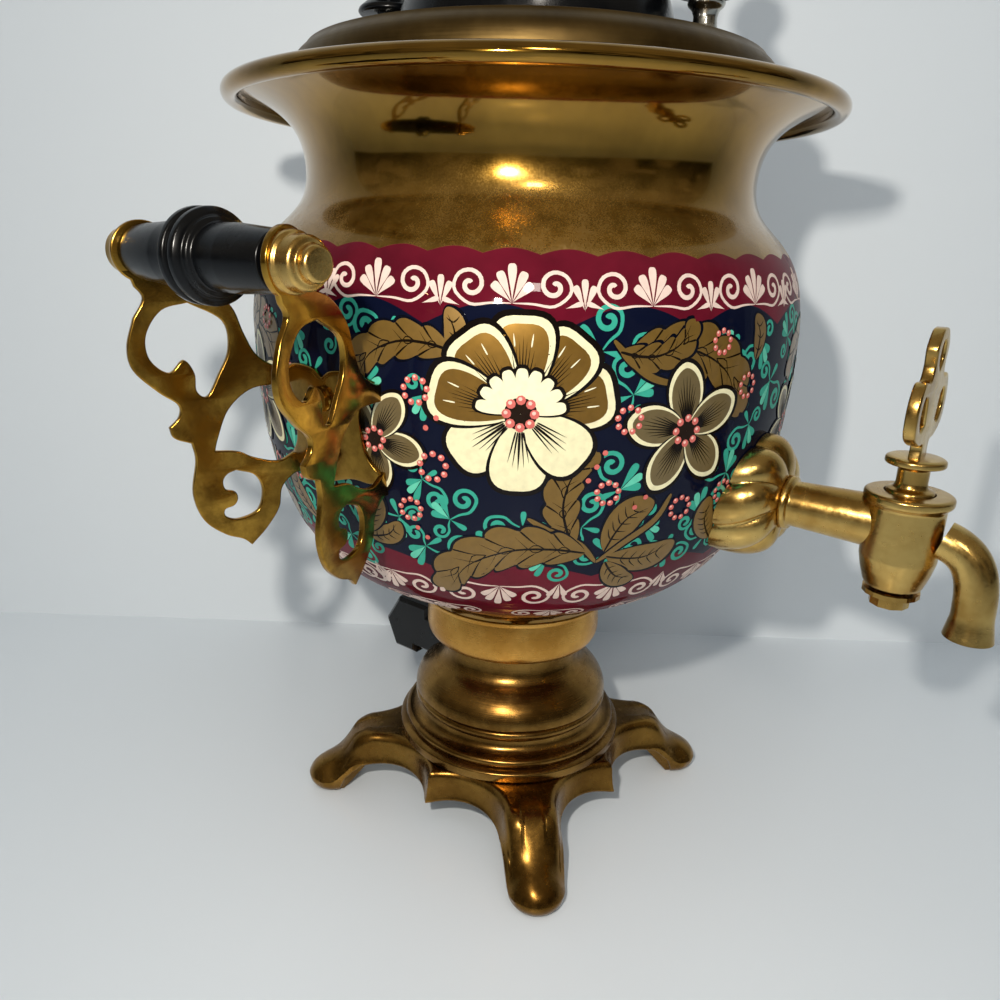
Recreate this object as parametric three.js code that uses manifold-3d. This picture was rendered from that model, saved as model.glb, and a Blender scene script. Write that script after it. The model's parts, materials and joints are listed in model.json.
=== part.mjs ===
// An electric samovar: brass body on a cast four-legged base, drum lid with a teapot rest,
// two stamped brass handles with turned grips, and a brass tap. Millimetres, +Z up.
// The tap points along -Y, the handles lie along X, the mains inlet faces +Y.
import * as THREE from "three";
import { mergeVertices } from "three/addons/utils/BufferGeometryUtils.js";
import Module from "manifold-3d";

const wasm = await Module();
wasm.setup();

// Driving dimensions

const fit = 0.3; // gap between pieces that seat on each other
const overrun = 4; // how far a cutter runs past what it cuts

// Cast base: heights above the table, places in a frame whose first axis runs along a leg
const base = {
  plateHeight: 26.8,
  plateThickness: 3.4,
  edgeRound: 2,
  legReach: 84.5,
  footHalfWidth: 10.3,
  footThickness: 5,
  footInset: 3.6,
  padStart: 70,
  legSideStart: 60,
  legSideWidth: 11.6,
  cuspRadius: 52.9,
  cuspHeight: 14.7,
  archRise: 1.8,
  scallopRadius: 22.4,
  topCuspRadius: 51.2,
  topScallopRadius: 30,
  topScallopEnd: 52,
  topScallopWidth: 12,
  kneeReach: 65.5,
  kneeRadius: 4,
  skirtWall: 3,
  skirtLip: 0.8,
  legRoot: 58,
  boreRadius: 37,
};

// Spun pedestal and the turned rings above it
const pedestal = { height: 42.9, footRadius: 45.8, wall: 1.8, boreRadius: 24.6 };
const collar = { height: 16.2, topRadius: 33.5, bulgeRadius: 35.2, boreRadius: 25 };
const seatRing = { height: 2.9, lowRadius: 36.4, beadRadius: 38.2, step: 1.3, boreRadius: 25 };

// Body shell: heights are above its own foot
const body = {
  footRadius: 38.3,
  bellyRadius: 95,
  bellyHeight: 102.5,
  neckRadius: 76,
  neckHeight: 150.5,
  lipRadius: 96,
  lipHeight: 173.6,
  rollCentre: 98.3,
  rollHeight: 172.6,
  rollRadius: 2.7,
  wall: 1.3,
  footOut: 7.4,
  footRise: 19.3,
  bellyDrop: 104,
  bellyRise: 37.1,
  neckDrop: 18.2,
  neckRise: 13.6,
  lipRun: 12.5,
  lipDrop: 3.4,
};

const lid = {
  radius: 79.5,
  wallHeight: 13.2,
  shoulderRadius: 74.7,
  shoulderHeight: 22.4,
  height: 29.2,
  wall: 1.4,
  collarRadius: 72.4,
  collarDepth: 9,
  knobCircle: 55,
  knobTurn: 15.7,
};
const crown = { baseRadius: 45.5, waistRadius: 36.6, rimRadius: 42.8, height: 30, waistHeight: 21.5, wall: 3, floorRise: 1.8 };
const crownCurveShares = { foot: 1 / 3, waist: 0.8, rim: 0.85 };
const knob = {
  postFootRadius: 5.8,
  postWaistRadius: 3.65,
  postHeight: 13.4,
  skirtRadius: 10.8,
  neckRadius: 5.4,
  ballRadius: 7.6,
  height: 22.3,
  studDepth: 7,
};

// Handle: heights are above the body's foot, reaches are past the belly
const handle = {
  eyePast: 39,
  eyeHeight: 126.3,
  eyeRadius: 7.9,
  splay: 14.87,
  plateStart: -5.64,
  plateSink: 1,
  plateDrop: 85.5,
  thickness: 1.7,
  strapHalfWidth: 18.6,
  strapHeight: 34,
  strapFoot: 62.6,
  screwSpread: 8,
};
const grip = { endRadius: 6.9, rootRadius: 7.9, beadRadius: 11.4, grooveRadius: 10.2, beadHalfWidth: 4.4, boreRadius: 2.6 };
const ferrule = { flangeRadius: 6.8, flangeEnd: 3.8, barrelRadius: 6, barrelEnd: 8, buttonRadius: 4, end: 11.2, bore: 8.6 };
const rod = { radius: 2.2, past: 7.5 };
const screw = { shankRadius: 2, headRadius: 3.8, headHeight: 1.9, nutRadius: 4.2, nutHeight: 3, tail: 1.2 };

// Tap: heights above the body's foot; its root lies inside the belly's reach, the barrel past the root,
// the spout past the barrel
const tap = {
  height: 57,
  rootSink: 4,
  tubeRadius: 6.9,
  tubeEndRadius: 8.2,
  shoulderRadius: 8.6,
  shoulderWidth: 2,
  bore: 4,
  tail: 16,
  rosetteRadius: 20.4,
  rosetteDepth: 12,
  rosetteSink: 8,
  lobeDepth: 2,
  lobes: 6,
  barrelPast: 46,
  barrelRadius: 10.4,
  barrelRise: 10.4,
  barrelDrop: 18,
  flangeRadius: 12,
  flangeHeight: 2.4,
  spoutPast: 22,
  spoutDrop: 28,
  spoutRadius: 5.6,
  spoutLip: 6.6,
  nutRadius: 12.5,
  nutHeight: 5,
  gasketRadius: 13.5,
  gasketThickness: 1.2,
};
const key = {
  plugTop: 6.6,
  plugFoot: 5.4,
  plugPast: 0.8,
  port: 3.4,
  neckRadius: 4.2,
  neckHeight: 8,
  collarRadius: 8,
  collarHeight: 2.6,
  handleHeight: 36,
  handleHalfWidth: 18,
  handleThickness: 3.2,
  washerRadius: 8,
  washerHeight: 1.4,
  screwRadius: 5.6,
  screwHeight: 3.2,
  screwDepth: 8,
};

// Heating, clamping and wiring inside
const heater = {
  tubeRadius: 4,
  ringRadius: 36,
  ringHeight: 20,
  legX: 9,
  legY: 14,
  tail: 12,
  gap: 28,
  flangeRadius: 7.2,
  flangeHeight: 2,
  gasketHeight: 1.5,
  nutRadius: 7.4,
  nutHeight: 4,
};
const tie = {
  radius: 3,
  headRadius: 6.6,
  headHeight: 4.6,
  sealHeight: 1.5,
  washerRadius: 11,
  washerHeight: 1.4,
  nutRadius: 6.4,
  nutHeight: 5,
  tail: 2,
};
const cover = { radius: 42, thickness: 1.4 };
const inlet = {
  halfWidth: 13,
  top: 43.9,
  shoulder: 39.5,
  crease: 31.9,
  floor: 22.9,
  bottom: 19.9,
  root: 27,
  collarClear: 36,
  upperReach: 53,
  nose: 60.5,
  lowerReach: 55,
  floorStep: 43,
  edge: 1.4,
  socketHalfWidth: 8.6,
  socketHalfHeight: 5.6,
  socketFloor: 45,
  pinRadius: 2,
  pinSpread: 4.6,
  pinRoot: 20,
  pinTip: 56,
  earthDrop: 4.2,
  earthHalfWidth: 2.2,
  earthThickness: 1.2,
  leadRadius: 1.3,
};

// Sides of round pieces and steps along curves
const sides = { body: 32, stack: 24, crown: 20, turned: 16, small: 10, tube: 8, hexagon: 6 };
const steps = { lower: 9, upper: 6, flare: 3, roll: 6, curve: 3, lobe: 6, bend: 8, ring: 30, bead: 2 };

// Finishes
const metal = (color, roughness) => new THREE.MeshStandardMaterial({ color, roughness, metalness: 1 });
const plain = (color, roughness) => new THREE.MeshStandardMaterial({ color, roughness, metalness: 0 });
const polishedBrass = metal("#b08a3a", 0.18);
const satinBrass = metal("#8a6a2c", 0.4);
const agedBrass = metal("#a07a30", 0.34);
const castBrass = metal("#c9a24a", 0.3);
const nickel = metal("#b9b9b2", 0.2);
const steel = metal("#8d9092", 0.4);
const blackPlastic = plain("#15181a", 0.15);
const rubber = plain("#2a2624", 0.8);
const insulation = plain("#cfc6b0", 0.6);

// Solids: closing, joining and cutting

function solidOf(geometry) {
  const bare = geometry.index ? geometry.toNonIndexed() : geometry.clone();
  const positions = new THREE.BufferGeometry().setAttribute("position", bare.getAttribute("position"));
  const merged = mergeVertices(positions, fit / 1000);
  const corners = merged.index.array;
  const kept = [];
  for (let i = 0; i < corners.length; i += 3) {
    const [a, b, c] = corners.slice(i, i + 3);
    if (a !== b && b !== c && c !== a) kept.push(a, b, c);
  }
  const build = (triangles) =>
    new wasm.Manifold(
      new wasm.Mesh({
        numProp: 3,
        vertProperties: merged.attributes.position.array,
        triVerts: new Uint32Array(triangles),
      }),
    );
  const made = build(kept);
  return made.volume() >= 0 ? made : build(kept.reverse());
}

function geometryOf(solid) {
  const mesh = solid.getMesh();
  const geometry = new THREE.BufferGeometry();
  geometry.setAttribute("position", new THREE.BufferAttribute(mesh.vertProperties, mesh.numProp));
  geometry.setIndex(new THREE.BufferAttribute(mesh.triVerts, 1));
  const faceted = geometry.toNonIndexed();
  faceted.computeVertexNormals();
  return faceted;
}

const joined = (solids) => solids.reduce((sum, next) => sum.add(next));
const cut = (solid, cutters) => cutters.reduce((rest, cutter) => rest.subtract(cutter), solid);

function node(name, solid, material) {
  const mesh = new THREE.Mesh(geometryOf(solid), material);
  mesh.name = name;
  return mesh;
}

// Objects grouped at a height, turned about the vertical
function group(height, turn, ...children) {
  const made = new THREE.Group();
  made.position.z = height;
  made.rotation.z = turn;
  made.add(...children);
  return made;
}

// A matrix that sets a piece's own axes along the given ones, at a place
function seat(xAxis, yAxis, zAxis, place) {
  const axes = [xAxis, yAxis, zAxis].map((axis) => new THREE.Vector3(...axis));
  return new THREE.Matrix4().makeBasis(...axes).setPosition(...place);
}
const shift = (x, y, z) => new THREE.Matrix4().makeTranslation(x, y, z);
const mirrorY = new THREE.Matrix4().makeScale(1, -1, 1);
const mirrored = (solid) => solidOf(geometryOf(solid).applyMatrix4(mirrorY));

// Curves as lists of [across, up]

const radians = THREE.MathUtils.degToRad;
const quarter = 90;
const half = 180;
const whole = 360;

function arc([centreX, centreY], radius, from, to, count) {
  return Array.from({ length: count + 1 }, (_, i) => {
    const angle = radians(THREE.MathUtils.lerp(from, to, i / count));
    return [centreX + radius * Math.cos(angle), centreY + radius * Math.sin(angle)];
  });
}

const toVectors = (points) => points.map(([x, y]) => new THREE.Vector2(x, y));
const toPairs = (vectors) => vectors.map(({ x, y }) => [x, y]);
const bezier = (points, count) => toPairs(new THREE.CubicBezierCurve(...toVectors(points)).getPoints(count));

// The same line moved sideways, to its left as it runs
function offset(points, distance) {
  return points.map(([x, y], i) => {
    const before = points[Math.max(i - 1, 0)];
    const after = points[Math.min(i + 1, points.length - 1)];
    const run = new THREE.Vector2(after[0] - before[0], after[1] - before[1]).normalize();
    return [Math.max(x - run.y * distance, 0), y + run.x * distance];
  });
}

// Where a line of [radius, height] has a given height, and the last place with a given radius
function radiusAt(line, height) {
  const i = line.findIndex(([, z]) => z > height);
  const [[lowRadius, low], [highRadius, high]] = [line[i - 1], line[i]];
  return THREE.MathUtils.mapLinear(height, low, high, lowRadius, highRadius);
}
function heightAt(line, radius) {
  const i = line.findLastIndex(([r], k) => k > 0 && (r - radius) * (line[k - 1][0] - radius) <= 0);
  const [[startRadius, start], [endRadius, end]] = [line[i - 1], line[i]];
  return THREE.MathUtils.mapLinear(radius, startRadius, endRadius, start, end);
}

// Turns a profile about Z; one that stays off the axis closes on itself
function revolve(profile, count, matrix = new THREE.Matrix4()) {
  const onAxis = profile[0][0] === 0 && profile.at(-1)[0] === 0;
  const points = toVectors(onAxis ? profile : [...profile, profile[0]]);
  const turned = new THREE.LatheGeometry(points, count).rotateX(radians(quarter));
  return solidOf(turned.applyMatrix4(matrix));
}

const disc = (radius, low, high, count, matrix) =>
  revolve([[0, low], [radius, low], [radius, high], [0, high]], count, matrix);
const washer = (inner, outer, low, high, count, matrix) =>
  revolve([[inner, low], [outer, low], [outer, high], [inner, high]], count, matrix);

// Hexagon nut with a round bore
function nut(bore, radius, low, high, matrix) {
  const hole = disc(bore, low - overrun, high + overrun, sides.turned, matrix);
  return disc(radius, low, high, sides.hexagon, matrix).subtract(hole);
}

// Extrudes an outline along its third axis, from zero to a depth
function slab(outline, holes, depth, matrix, bevel = 0) {
  const points = toVectors(outline);
  const shape = new THREE.Shape(THREE.ShapeUtils.isClockWise(points) ? points.toReversed() : points);
  shape.holes = holes.map((hole) => new THREE.Path(toVectors(hole)));
  const made = new THREE.ExtrudeGeometry(shape, {
    depth: depth - 2 * bevel,
    bevelEnabled: bevel > 0,
    bevelThickness: bevel,
    bevelSize: bevel,
    bevelOffset: -bevel,
    bevelSegments: 1,
    steps: 1,
  });
  return solidOf(made.translate(0, 0, bevel).applyMatrix4(matrix));
}

const rectangle = (left, right, low, high) => [[left, low], [right, low], [right, high], [left, high]];

// A round bar along a curve in space
function bar(curve, radius, count, along) {
  const section = new THREE.Shape(toVectors(arc([0, 0], radius, 0, whole - whole / count, count - 1)));
  return solidOf(new THREE.ExtrudeGeometry(section, { steps: along, extrudePath: curve, bevelEnabled: false }));
}

const through = (points) => new THREE.CatmullRomCurve3(points.map((p) => new THREE.Vector3(...p)));

// A smooth line through control points, corners kept where one run ends and the next starts
function runs(list, [originX, originY], [width, height]) {
  const scaled = list.map((run) => run.map(([x, y]) => [originX + x * width, originY + y * height]));
  return scaled.flatMap((run) => {
    const points = toPairs(new THREE.SplineCurve(toVectors(run)).getPoints((run.length - 1) * 2));
    return points.slice(0, -1);
  });
}
const loop = (list, origin, size) => runs([[...list, list[0]]], origin, size);

// Joins neighbouring columns of points, round both ways, into one closed skin
function loft(columns) {
  const positions = columns.flatMap((column, i) => {
    const next = columns[(i + 1) % columns.length];
    return column.flatMap((point, k) => {
      const above = (k + 1) % column.length;
      return [...point, ...column[above], ...next[above], ...point, ...next[above], ...next[k]];
    });
  });
  return solidOf(new THREE.BufferGeometry().setAttribute("position", new THREE.Float32BufferAttribute(positions, 3)));
}

// Heights of the stack from the table up
const pedestalFoot = base.plateHeight + fit;
const collarFoot = pedestalFoot + pedestal.height + fit;
const seatRingFoot = collarFoot + collar.height + fit;
const bodyFoot = seatRingFoot + seatRing.height + fit;

// Reaches from the body's axis
const plateRoot = body.bellyRadius - handle.plateSink;
const eyeReach = body.bellyRadius + handle.eyePast;
const tapRoot = body.bellyRadius - tap.rootSink;
const barrelReach = tapRoot + tap.barrelPast;
const spoutReach = barrelReach + tap.spoutPast;

// Cast base: sections of the casting carried round its outline, leg after leg

const diagonalShare = Math.SQRT1_2;
const legSideShares = [1 / 3, 2 / 3];
const wallRunShares = [0, 0.08, 0.22, 0.42, 0.65, 0.87, 1];
const wallFallShares = [0, 0.22, 0.4, 0.55, 0.66, 0.8, 1];

// Half a leg's edge: scallop from the cusp at mid side, straight side, round end
function legEdge(cuspRadius, centre, radius, sideEnd, endCentre, endRadius) {
  const cusp = [cuspRadius * diagonalShare, cuspRadius * diagonalShare];
  const turnTo = ([x, y]) => (THREE.MathUtils.radToDeg(Math.atan2(y - centre[1], x - centre[0])) + whole) % whole;
  const scallop = arc(centre, radius, turnTo(cusp), turnTo(sideEnd), steps.curve);
  const end = arc([endCentre, 0], endRadius, quarter, 0, steps.bead);
  const side = legSideShares.map((share) => [
    THREE.MathUtils.lerp(sideEnd[0], end[0][0], share),
    THREE.MathUtils.lerp(sideEnd[1], end[0][1], share),
  ]);
  return [cusp, ...scallop.slice(1), ...side, ...end];
}

function skirtEdge() {
  const centre = [base.legSideStart, base.legSideWidth + base.scallopRadius];
  const sideEnd = [base.legSideStart, base.legSideWidth];
  const endCentre = base.legReach - base.footHalfWidth;
  return legEdge(base.cuspRadius, centre, base.scallopRadius, sideEnd, endCentre, base.footHalfWidth);
}

function plateEdge() {
  const rise = base.topScallopRadius * Math.cos(radians(quarter / 3));
  const run = base.topScallopRadius * Math.sin(radians(quarter / 3));
  const centre = [base.topScallopEnd + run, base.topScallopWidth + rise];
  const sideEnd = [base.topScallopEnd, base.topScallopWidth];
  const endCentre = base.kneeReach - base.kneeRadius;
  return legEdge(base.topCuspRadius, centre, base.topScallopRadius, sideEnd, endCentre, base.kneeRadius);
}

// Height of the skirt's edge: a low arch between the legs, then down to the foot
function skirtHeight([along], i) {
  const archShare = Math.sin((Math.PI * Math.min(i, steps.curve)) / steps.curve);
  const fallShare = THREE.MathUtils.smoothstep(along, base.legSideStart, base.padStart + base.footThickness);
  return THREE.MathUtils.lerp(base.cuspHeight + base.archRise * archShare, base.footThickness, fallShare);
}

function inward([x, y], distance) {
  const length = Math.hypot(x, y);
  return [x - (x / length) * distance, y - (y / length) * distance];
}

// The section of the casting at one place along its outline, round from the bore's top edge
function baseSection(top, edge, lowHeight) {
  const edgeHeight = base.plateHeight - base.edgeRound;
  const underHeight = base.plateHeight - base.plateThickness;
  const isFoot = edge[0] >= base.padStart;
  const soleHeight = isFoot ? 0 : lowHeight - base.skirtLip;
  const roundShare = 1 - diagonalShare;
  const wall = wallRunShares.map((share, k) => [
    THREE.MathUtils.lerp(top[0], edge[0], share),
    THREE.MathUtils.lerp(top[1], edge[1], share),
    THREE.MathUtils.lerp(edgeHeight, lowHeight, wallFallShares[k]),
  ]);
  const footShare = 1 - base.footInset / base.footHalfWidth;
  const footCentre = base.legReach - base.footHalfWidth;
  const lip = isFoot
    ? [footCentre + (edge[0] - footCentre) * footShare, edge[1] * footShare]
    : inward(edge, base.skirtLip);
  const sole = isFoot ? [base.padStart, lip[1]] : inward(edge, base.skirtWall);
  const inner = inward(top, base.skirtWall);
  const root = [Math.min(inner[0], base.legRoot), inner[1]];
  const bore = (point) => inward(point, Math.hypot(...point) - base.boreRadius);
  return [
    [...bore(root), base.plateHeight],
    [...inward(top, base.edgeRound), base.plateHeight],
    [...inward(top, base.edgeRound * roundShare), base.plateHeight - base.edgeRound * roundShare],
    ...wall,
    [...lip, soleHeight],
    [...sole, soleHeight],
    [...root, Math.max(lowHeight, base.cuspHeight) - base.skirtLip],
    [...root, underHeight],
    [...bore(root), underHeight],
  ];
}

function baseCasting() {
  const low = skirtEdge();
  const high = plateEdge();
  const halfLeg = low.map((edge, i) => baseSection(high[i], edge, skirtHeight(edge, i)));
  const otherHalf = halfLeg.slice(1, -1).toReversed();
  const leg = [...halfLeg, ...otherHalf.map((section) => section.map(([x, y, z]) => [x, -y, z]))];
  const legTurns = [0, 1, 2, 3].map((i) => radians(-i * quarter - quarter / 2));
  const columns = legTurns.flatMap((turn) =>
    leg.map((section) =>
      section.map(([x, y, z]) => [
        x * Math.cos(turn) - y * Math.sin(turn),
        x * Math.sin(turn) + y * Math.cos(turn),
        z,
      ]),
    ),
  );
  return loft(columns);
}

// Pedestal: heights and radii as shares of its height and foot radius, from the foot up

const footRingShares = [[1, 0], [1, 0.08], [0.966, 0.102]];
const torusShares = { radius: 0.914, height: 0.145, round: 0.037 };
const coveShares = [[0.914, 0.186], [0.835, 0.19], [0.815, 0.24], [0.812, 0.29]];
const beadShares = { radius: 0.82, height: 0.358, round: 0.041 };
const domeShares = [[0.86, 0.42], [0.862, 0.55], [0.79, 0.66], [0.712, 0.71]];
const bandShares = [[0.692, 0.716], [0.692, 0.728], [0.698, 0.733], [0.676, 0.83], [0.656, 0.838]];
const neckShares = [[0.652, 0.84], [0.62, 0.885], [0.602, 0.94], [0.6, 1]];

function pedestalShell() {
  const scaled = (list) => list.map(([radius, height]) => [radius * pedestal.footRadius, height * pedestal.height]);
  const roll = ({ radius, height, round }, spread) => {
    const centre = [radius * pedestal.footRadius, height * pedestal.height];
    return arc(centre, round * pedestal.footRadius, -spread, spread, steps.bead);
  };
  const outer = [
    ...scaled(footRingShares),
    ...roll(torusShares, quarter * diagonalShare),
    ...bezier(scaled(coveShares), steps.bead),
    ...roll(beadShares, quarter),
    ...bezier(scaled(domeShares), steps.curve),
    ...scaled(bandShares),
    ...bezier(scaled(neckShares), steps.bead),
  ];
  const insideShares = [footRingShares[0], footRingShares[1], coveShares[2], coveShares[3], domeShares[0], domeShares[1]];
  const line = [...scaled(insideShares), ...scaled([domeShares[3], bandShares[4], neckShares[1], neckShares[3]])];
  const inner = offset(line, pedestal.wall)
    .map(([radius, height]) => [radius, THREE.MathUtils.clamp(height, 0, pedestal.height - pedestal.wall)])
    .toReversed();
  const topBore = [[pedestal.boreRadius, pedestal.height], [pedestal.boreRadius, pedestal.height - pedestal.wall]];
  const window = inletShell(fit);
  return cut(revolve([...outer, ...topBore, ...inner], sides.stack), [window]);
}

const collarPullShares = [1 / 8, 1 / 3];

function collarRing() {
  const side = bezier(
    [
      [collar.topRadius, 0],
      [collar.bulgeRadius, collar.height * collarPullShares[0]],
      [collar.bulgeRadius, collar.height * collarPullShares[1]],
      [collar.topRadius, collar.height],
    ],
    steps.roll,
  );
  return revolve([[collar.boreRadius, 0], ...side, [collar.boreRadius, collar.height]], sides.stack);
}

function seatRingTurned() {
  const outside = [
    [seatRing.lowRadius, 0],
    [seatRing.lowRadius, seatRing.step],
    [seatRing.beadRadius, seatRing.step],
    [seatRing.beadRadius, seatRing.height],
  ];
  return revolve([[seatRing.boreRadius, 0], ...outside, [seatRing.boreRadius, seatRing.height]], sides.body);
}

// Body shell

function bodyOutline() {
  const foot = [body.footRadius, 0];
  const belly = [body.bellyRadius, body.bellyHeight];
  const neck = [body.neckRadius, body.neckHeight];
  const lip = [body.lipRadius, body.lipHeight];
  const footPull = [body.footRadius + body.footOut, body.footRise];
  const bellyUnder = [body.bellyRadius, body.bellyHeight - body.bellyDrop];
  const bellyOver = [body.bellyRadius, body.bellyHeight + body.bellyRise];
  const neckUnder = [body.neckRadius, body.neckHeight - body.neckDrop];
  const neckOver = [body.neckRadius, body.neckHeight + body.neckRise];
  const lipPull = [body.lipRadius - body.lipRun, body.lipHeight - body.lipDrop];
  return [
    ...bezier([foot, footPull, bellyUnder, belly], steps.lower),
    ...bezier([belly, bellyOver, neckUnder, neck], steps.upper).slice(1),
    ...bezier([neck, neckOver, lipPull, lip], steps.flare).slice(1),
  ];
}

const bodyLine = bodyOutline();
const bodyInside = offset(bodyLine, body.wall);

// Everything within a given distance of the body's outside, up to its neck
function bodyMass(gap) {
  const line = offset(bodyLine.slice(0, 1 + steps.lower + steps.upper), -gap);
  return revolve([[0, 0], [line[0][0], 0], ...line.slice(1), [0, line.at(-1)[1]]], sides.body);
}

function bodyShell() {
  const roll = arc([body.rollCentre, body.rollHeight], body.rollRadius, half, quarter + whole, steps.roll);
  const inside = bodyInside.filter(([, height]) => height > body.wall).toReversed();
  const floorEdge = [body.footRadius - body.wall, body.wall];
  const shell = revolve([[0, 0], ...bodyLine, ...roll, ...inside, floorEdge, [0, body.wall]], sides.body);
  const tapHole = disc(tap.tubeRadius + fit, 0, tapRoot + overrun, sides.turned, onTap);
  const screwHoles = strapScrews.flatMap((height) =>
    [quarter, -quarter].map((turn) => {
      const toSide = new THREE.Matrix4().makeRotationZ(radians(turn - quarter)).multiply(onLeft(height));
      return disc(screw.shankRadius + fit, 0, body.bellyRadius + overrun, sides.tube, toSide);
    }),
  );
  const legHoles = [-heater.legX, heater.legX].map((x) =>
    disc(heater.tubeRadius + fit, -overrun, overrun, sides.small, shift(x, heater.legY, 0)),
  );
  const tieHole = disc(tie.radius + fit, -overrun, overrun, sides.small);
  return cut(shell, [tapHole, ...screwHoles, ...legHoles, tieHole]);
}

// Pieces made along Z, laid out along the tap's tube or straight out of the left side
const onTap = seat([1, 0, 0], [0, 0, 1], [0, -1, 0], [0, 0, tap.height]);
const onLeft = (height) => seat([0, -1, 0], [0, 0, 1], [-1, 0, 0], [0, 0, height]);
const strapMiddle = handle.strapFoot + handle.strapHeight / 2;
const strapScrews = [strapMiddle + handle.screwSpread, strapMiddle - handle.screwSpread];

// Lid: a drum standing on the flare, domed top, locating collar inside the neck

const flareInside = bodyInside.slice(steps.lower + steps.upper);
const lidFoot = heightAt(flareInside, lid.radius) + fit * Math.SQRT2;

function lidOutline() {
  const shoulderShare = 3 / 4;
  const shoulder = [lid.shoulderRadius, lid.shoulderHeight];
  const bend = [lid.radius, THREE.MathUtils.lerp(lid.wallHeight, lid.shoulderHeight, shoulderShare)];
  const slope = [
    THREE.MathUtils.lerp(lid.shoulderRadius, lid.radius, 1 - shoulderShare),
    THREE.MathUtils.lerp(lid.shoulderHeight, lid.wallHeight, (1 - shoulderShare) / 2),
  ];
  const dome = [lid.shoulderRadius * shoulderShare, THREE.MathUtils.lerp(lid.height, lid.shoulderHeight, 1 - shoulderShare)];
  return [
    [lid.radius, 0],
    ...bezier([[lid.radius, lid.wallHeight], bend, slope, shoulder], steps.curve),
    ...bezier([shoulder, dome, [lid.shoulderRadius / 3, lid.height], [0, lid.height]], steps.curve).slice(1),
  ];
}

const lidLine = lidOutline();
const postPlaces = [-lid.knobTurn, half - lid.knobTurn].map((turn) => [
  lid.knobCircle * Math.sin(radians(-turn)),
  -lid.knobCircle * Math.cos(radians(turn)),
]);

function lidDrum() {
  const inside = offset(lidLine, lid.wall).toReversed();
  inside[inside.length - 1][1] = 0;
  const shell = revolve([[0, inside[0][1]], ...inside.slice(1), ...lidLine], sides.body);
  const collarTop = heightAt(lidLine, lid.collarRadius) - lid.wall / 2;
  const locating = washer(lid.collarRadius - lid.wall, lid.collarRadius, -lid.collarDepth, collarTop, sides.body);
  const holes = [[0, 0], ...postPlaces].map(([x, y]) =>
    disc(screw.shankRadius + fit, 0, lid.height + overrun, sides.tube, shift(x, y, 0)),
  );
  return cut(shell.add(locating), holes);
}

// Post with a stud down through the lid and another up into its knob
const postFoot = heightAt(lidLine, lid.knobCircle);
const postSlope = heightAt(lidLine, lid.knobCircle - knob.postFootRadius) - postFoot;

function lidMass(gap) {
  return revolve([[0, 0], ...offset(lidLine, -gap).slice(0, -1), [0, lid.height + gap]], sides.body);
}

function lidPost([x, y]) {
  const waistShare = 0.42;
  const top = knob.postHeight;
  const turned = revolve(
    [
      [0, -postSlope - fit],
      [knob.postFootRadius, -postSlope - fit],
      [knob.postFootRadius, top * (waistShare / 3)],
      [knob.postWaistRadius, top * waistShare],
      [knob.postWaistRadius, top * (1 - waistShare)],
      [knob.postFootRadius, top * (1 - waistShare / 2)],
      [knob.postFootRadius, top * (1 - waistShare / 4)],
      [knob.postWaistRadius, top],
      [0, top],
    ],
    sides.small,
    shift(x, y, postFoot),
  );
  const studFoot = postFoot - postSlope - lid.wall - screw.nutHeight - screw.tail;
  const studTop = postFoot + knob.postHeight + knob.studDepth;
  const stud = disc(screw.shankRadius, studFoot, studTop, sides.tube, shift(x, y, 0));
  return turned.subtract(lidMass(fit)).add(stud);
}

// Black knob: flared skirt, narrow neck and a ball on top
function lidKnob([x, y]) {
  const neckShare = 0.42;
  const ballShare = 0.78;
  const skirt = [
    [knob.skirtRadius, 0],
    [knob.skirtRadius, knob.height * (neckShare / 2)],
    [knob.neckRadius, knob.height * (neckShare / 3)],
    [knob.neckRadius, knob.height * neckShare],
  ];
  const ball = arc([0, knob.height - knob.ballRadius], knob.ballRadius, -quarter / 2, quarter, steps.curve);
  const socketTop = knob.studDepth + fit;
  const profile = [
    [0, socketTop],
    [screw.shankRadius + fit, socketTop],
    [screw.shankRadius + fit, 0],
    ...bezier(skirt, steps.curve),
    [knob.neckRadius, knob.height * (neckShare + (ballShare - neckShare) / 8)],
    ...ball.slice(0, -1),
    [0, knob.height],
  ];
  return revolve(profile, sides.small, shift(x, y, postFoot + knob.postHeight + fit));
}

// Nut under the lid, on a stud or the crown's screw
function lidNut([x, y], top) {
  const bore = screw.shankRadius + fit;
  return nut(bore, screw.nutRadius, top - screw.nutHeight, top, shift(x, y, 0));
}

// Crown: cup on a flared foot, its floor just clear of the lid's dome
const crownFoot = heightAt(lidLine, crown.baseRadius - crown.wall - 2 * fit) + fit;

function crownRest() {
  const foot = [crown.baseRadius, 0];
  const waist = [crown.waistRadius, crown.waistHeight];
  const rim = [crown.rimRadius, crown.height - crown.floorRise];
  const bendHeight = crown.height * crownCurveShares.rim;
  const outside = [
    ...bezier(
      [
        foot,
        [crown.baseRadius, crown.waistHeight * crownCurveShares.foot],
        [crown.rimRadius, crown.waistHeight * crownCurveShares.waist],
        waist,
      ],
      steps.bend / 2,
    ),
    ...bezier([waist, [crown.waistRadius, bendHeight], [crown.rimRadius, bendHeight], rim], steps.curve),
    [crown.rimRadius, crown.height],
  ];
  const floorTop = crown.floorRise + crown.wall;
  const inside = offset(outside, crown.wall)
    .filter(([, height]) => height > floorTop)
    .toReversed();
  inside[0] = [crown.rimRadius - crown.wall, crown.height];
  const foots = [
    [0, crown.floorRise],
    [crown.baseRadius - crown.wall, crown.floorRise],
    [crown.baseRadius - crown.wall, 0],
  ];
  const cup = revolve([...foots, ...outside, ...inside, [inside.at(-1)[0], floorTop], [0, floorTop]], sides.crown);
  return cup.subtract(disc(screw.shankRadius + fit, 0, crown.height, sides.tube));
}

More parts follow.
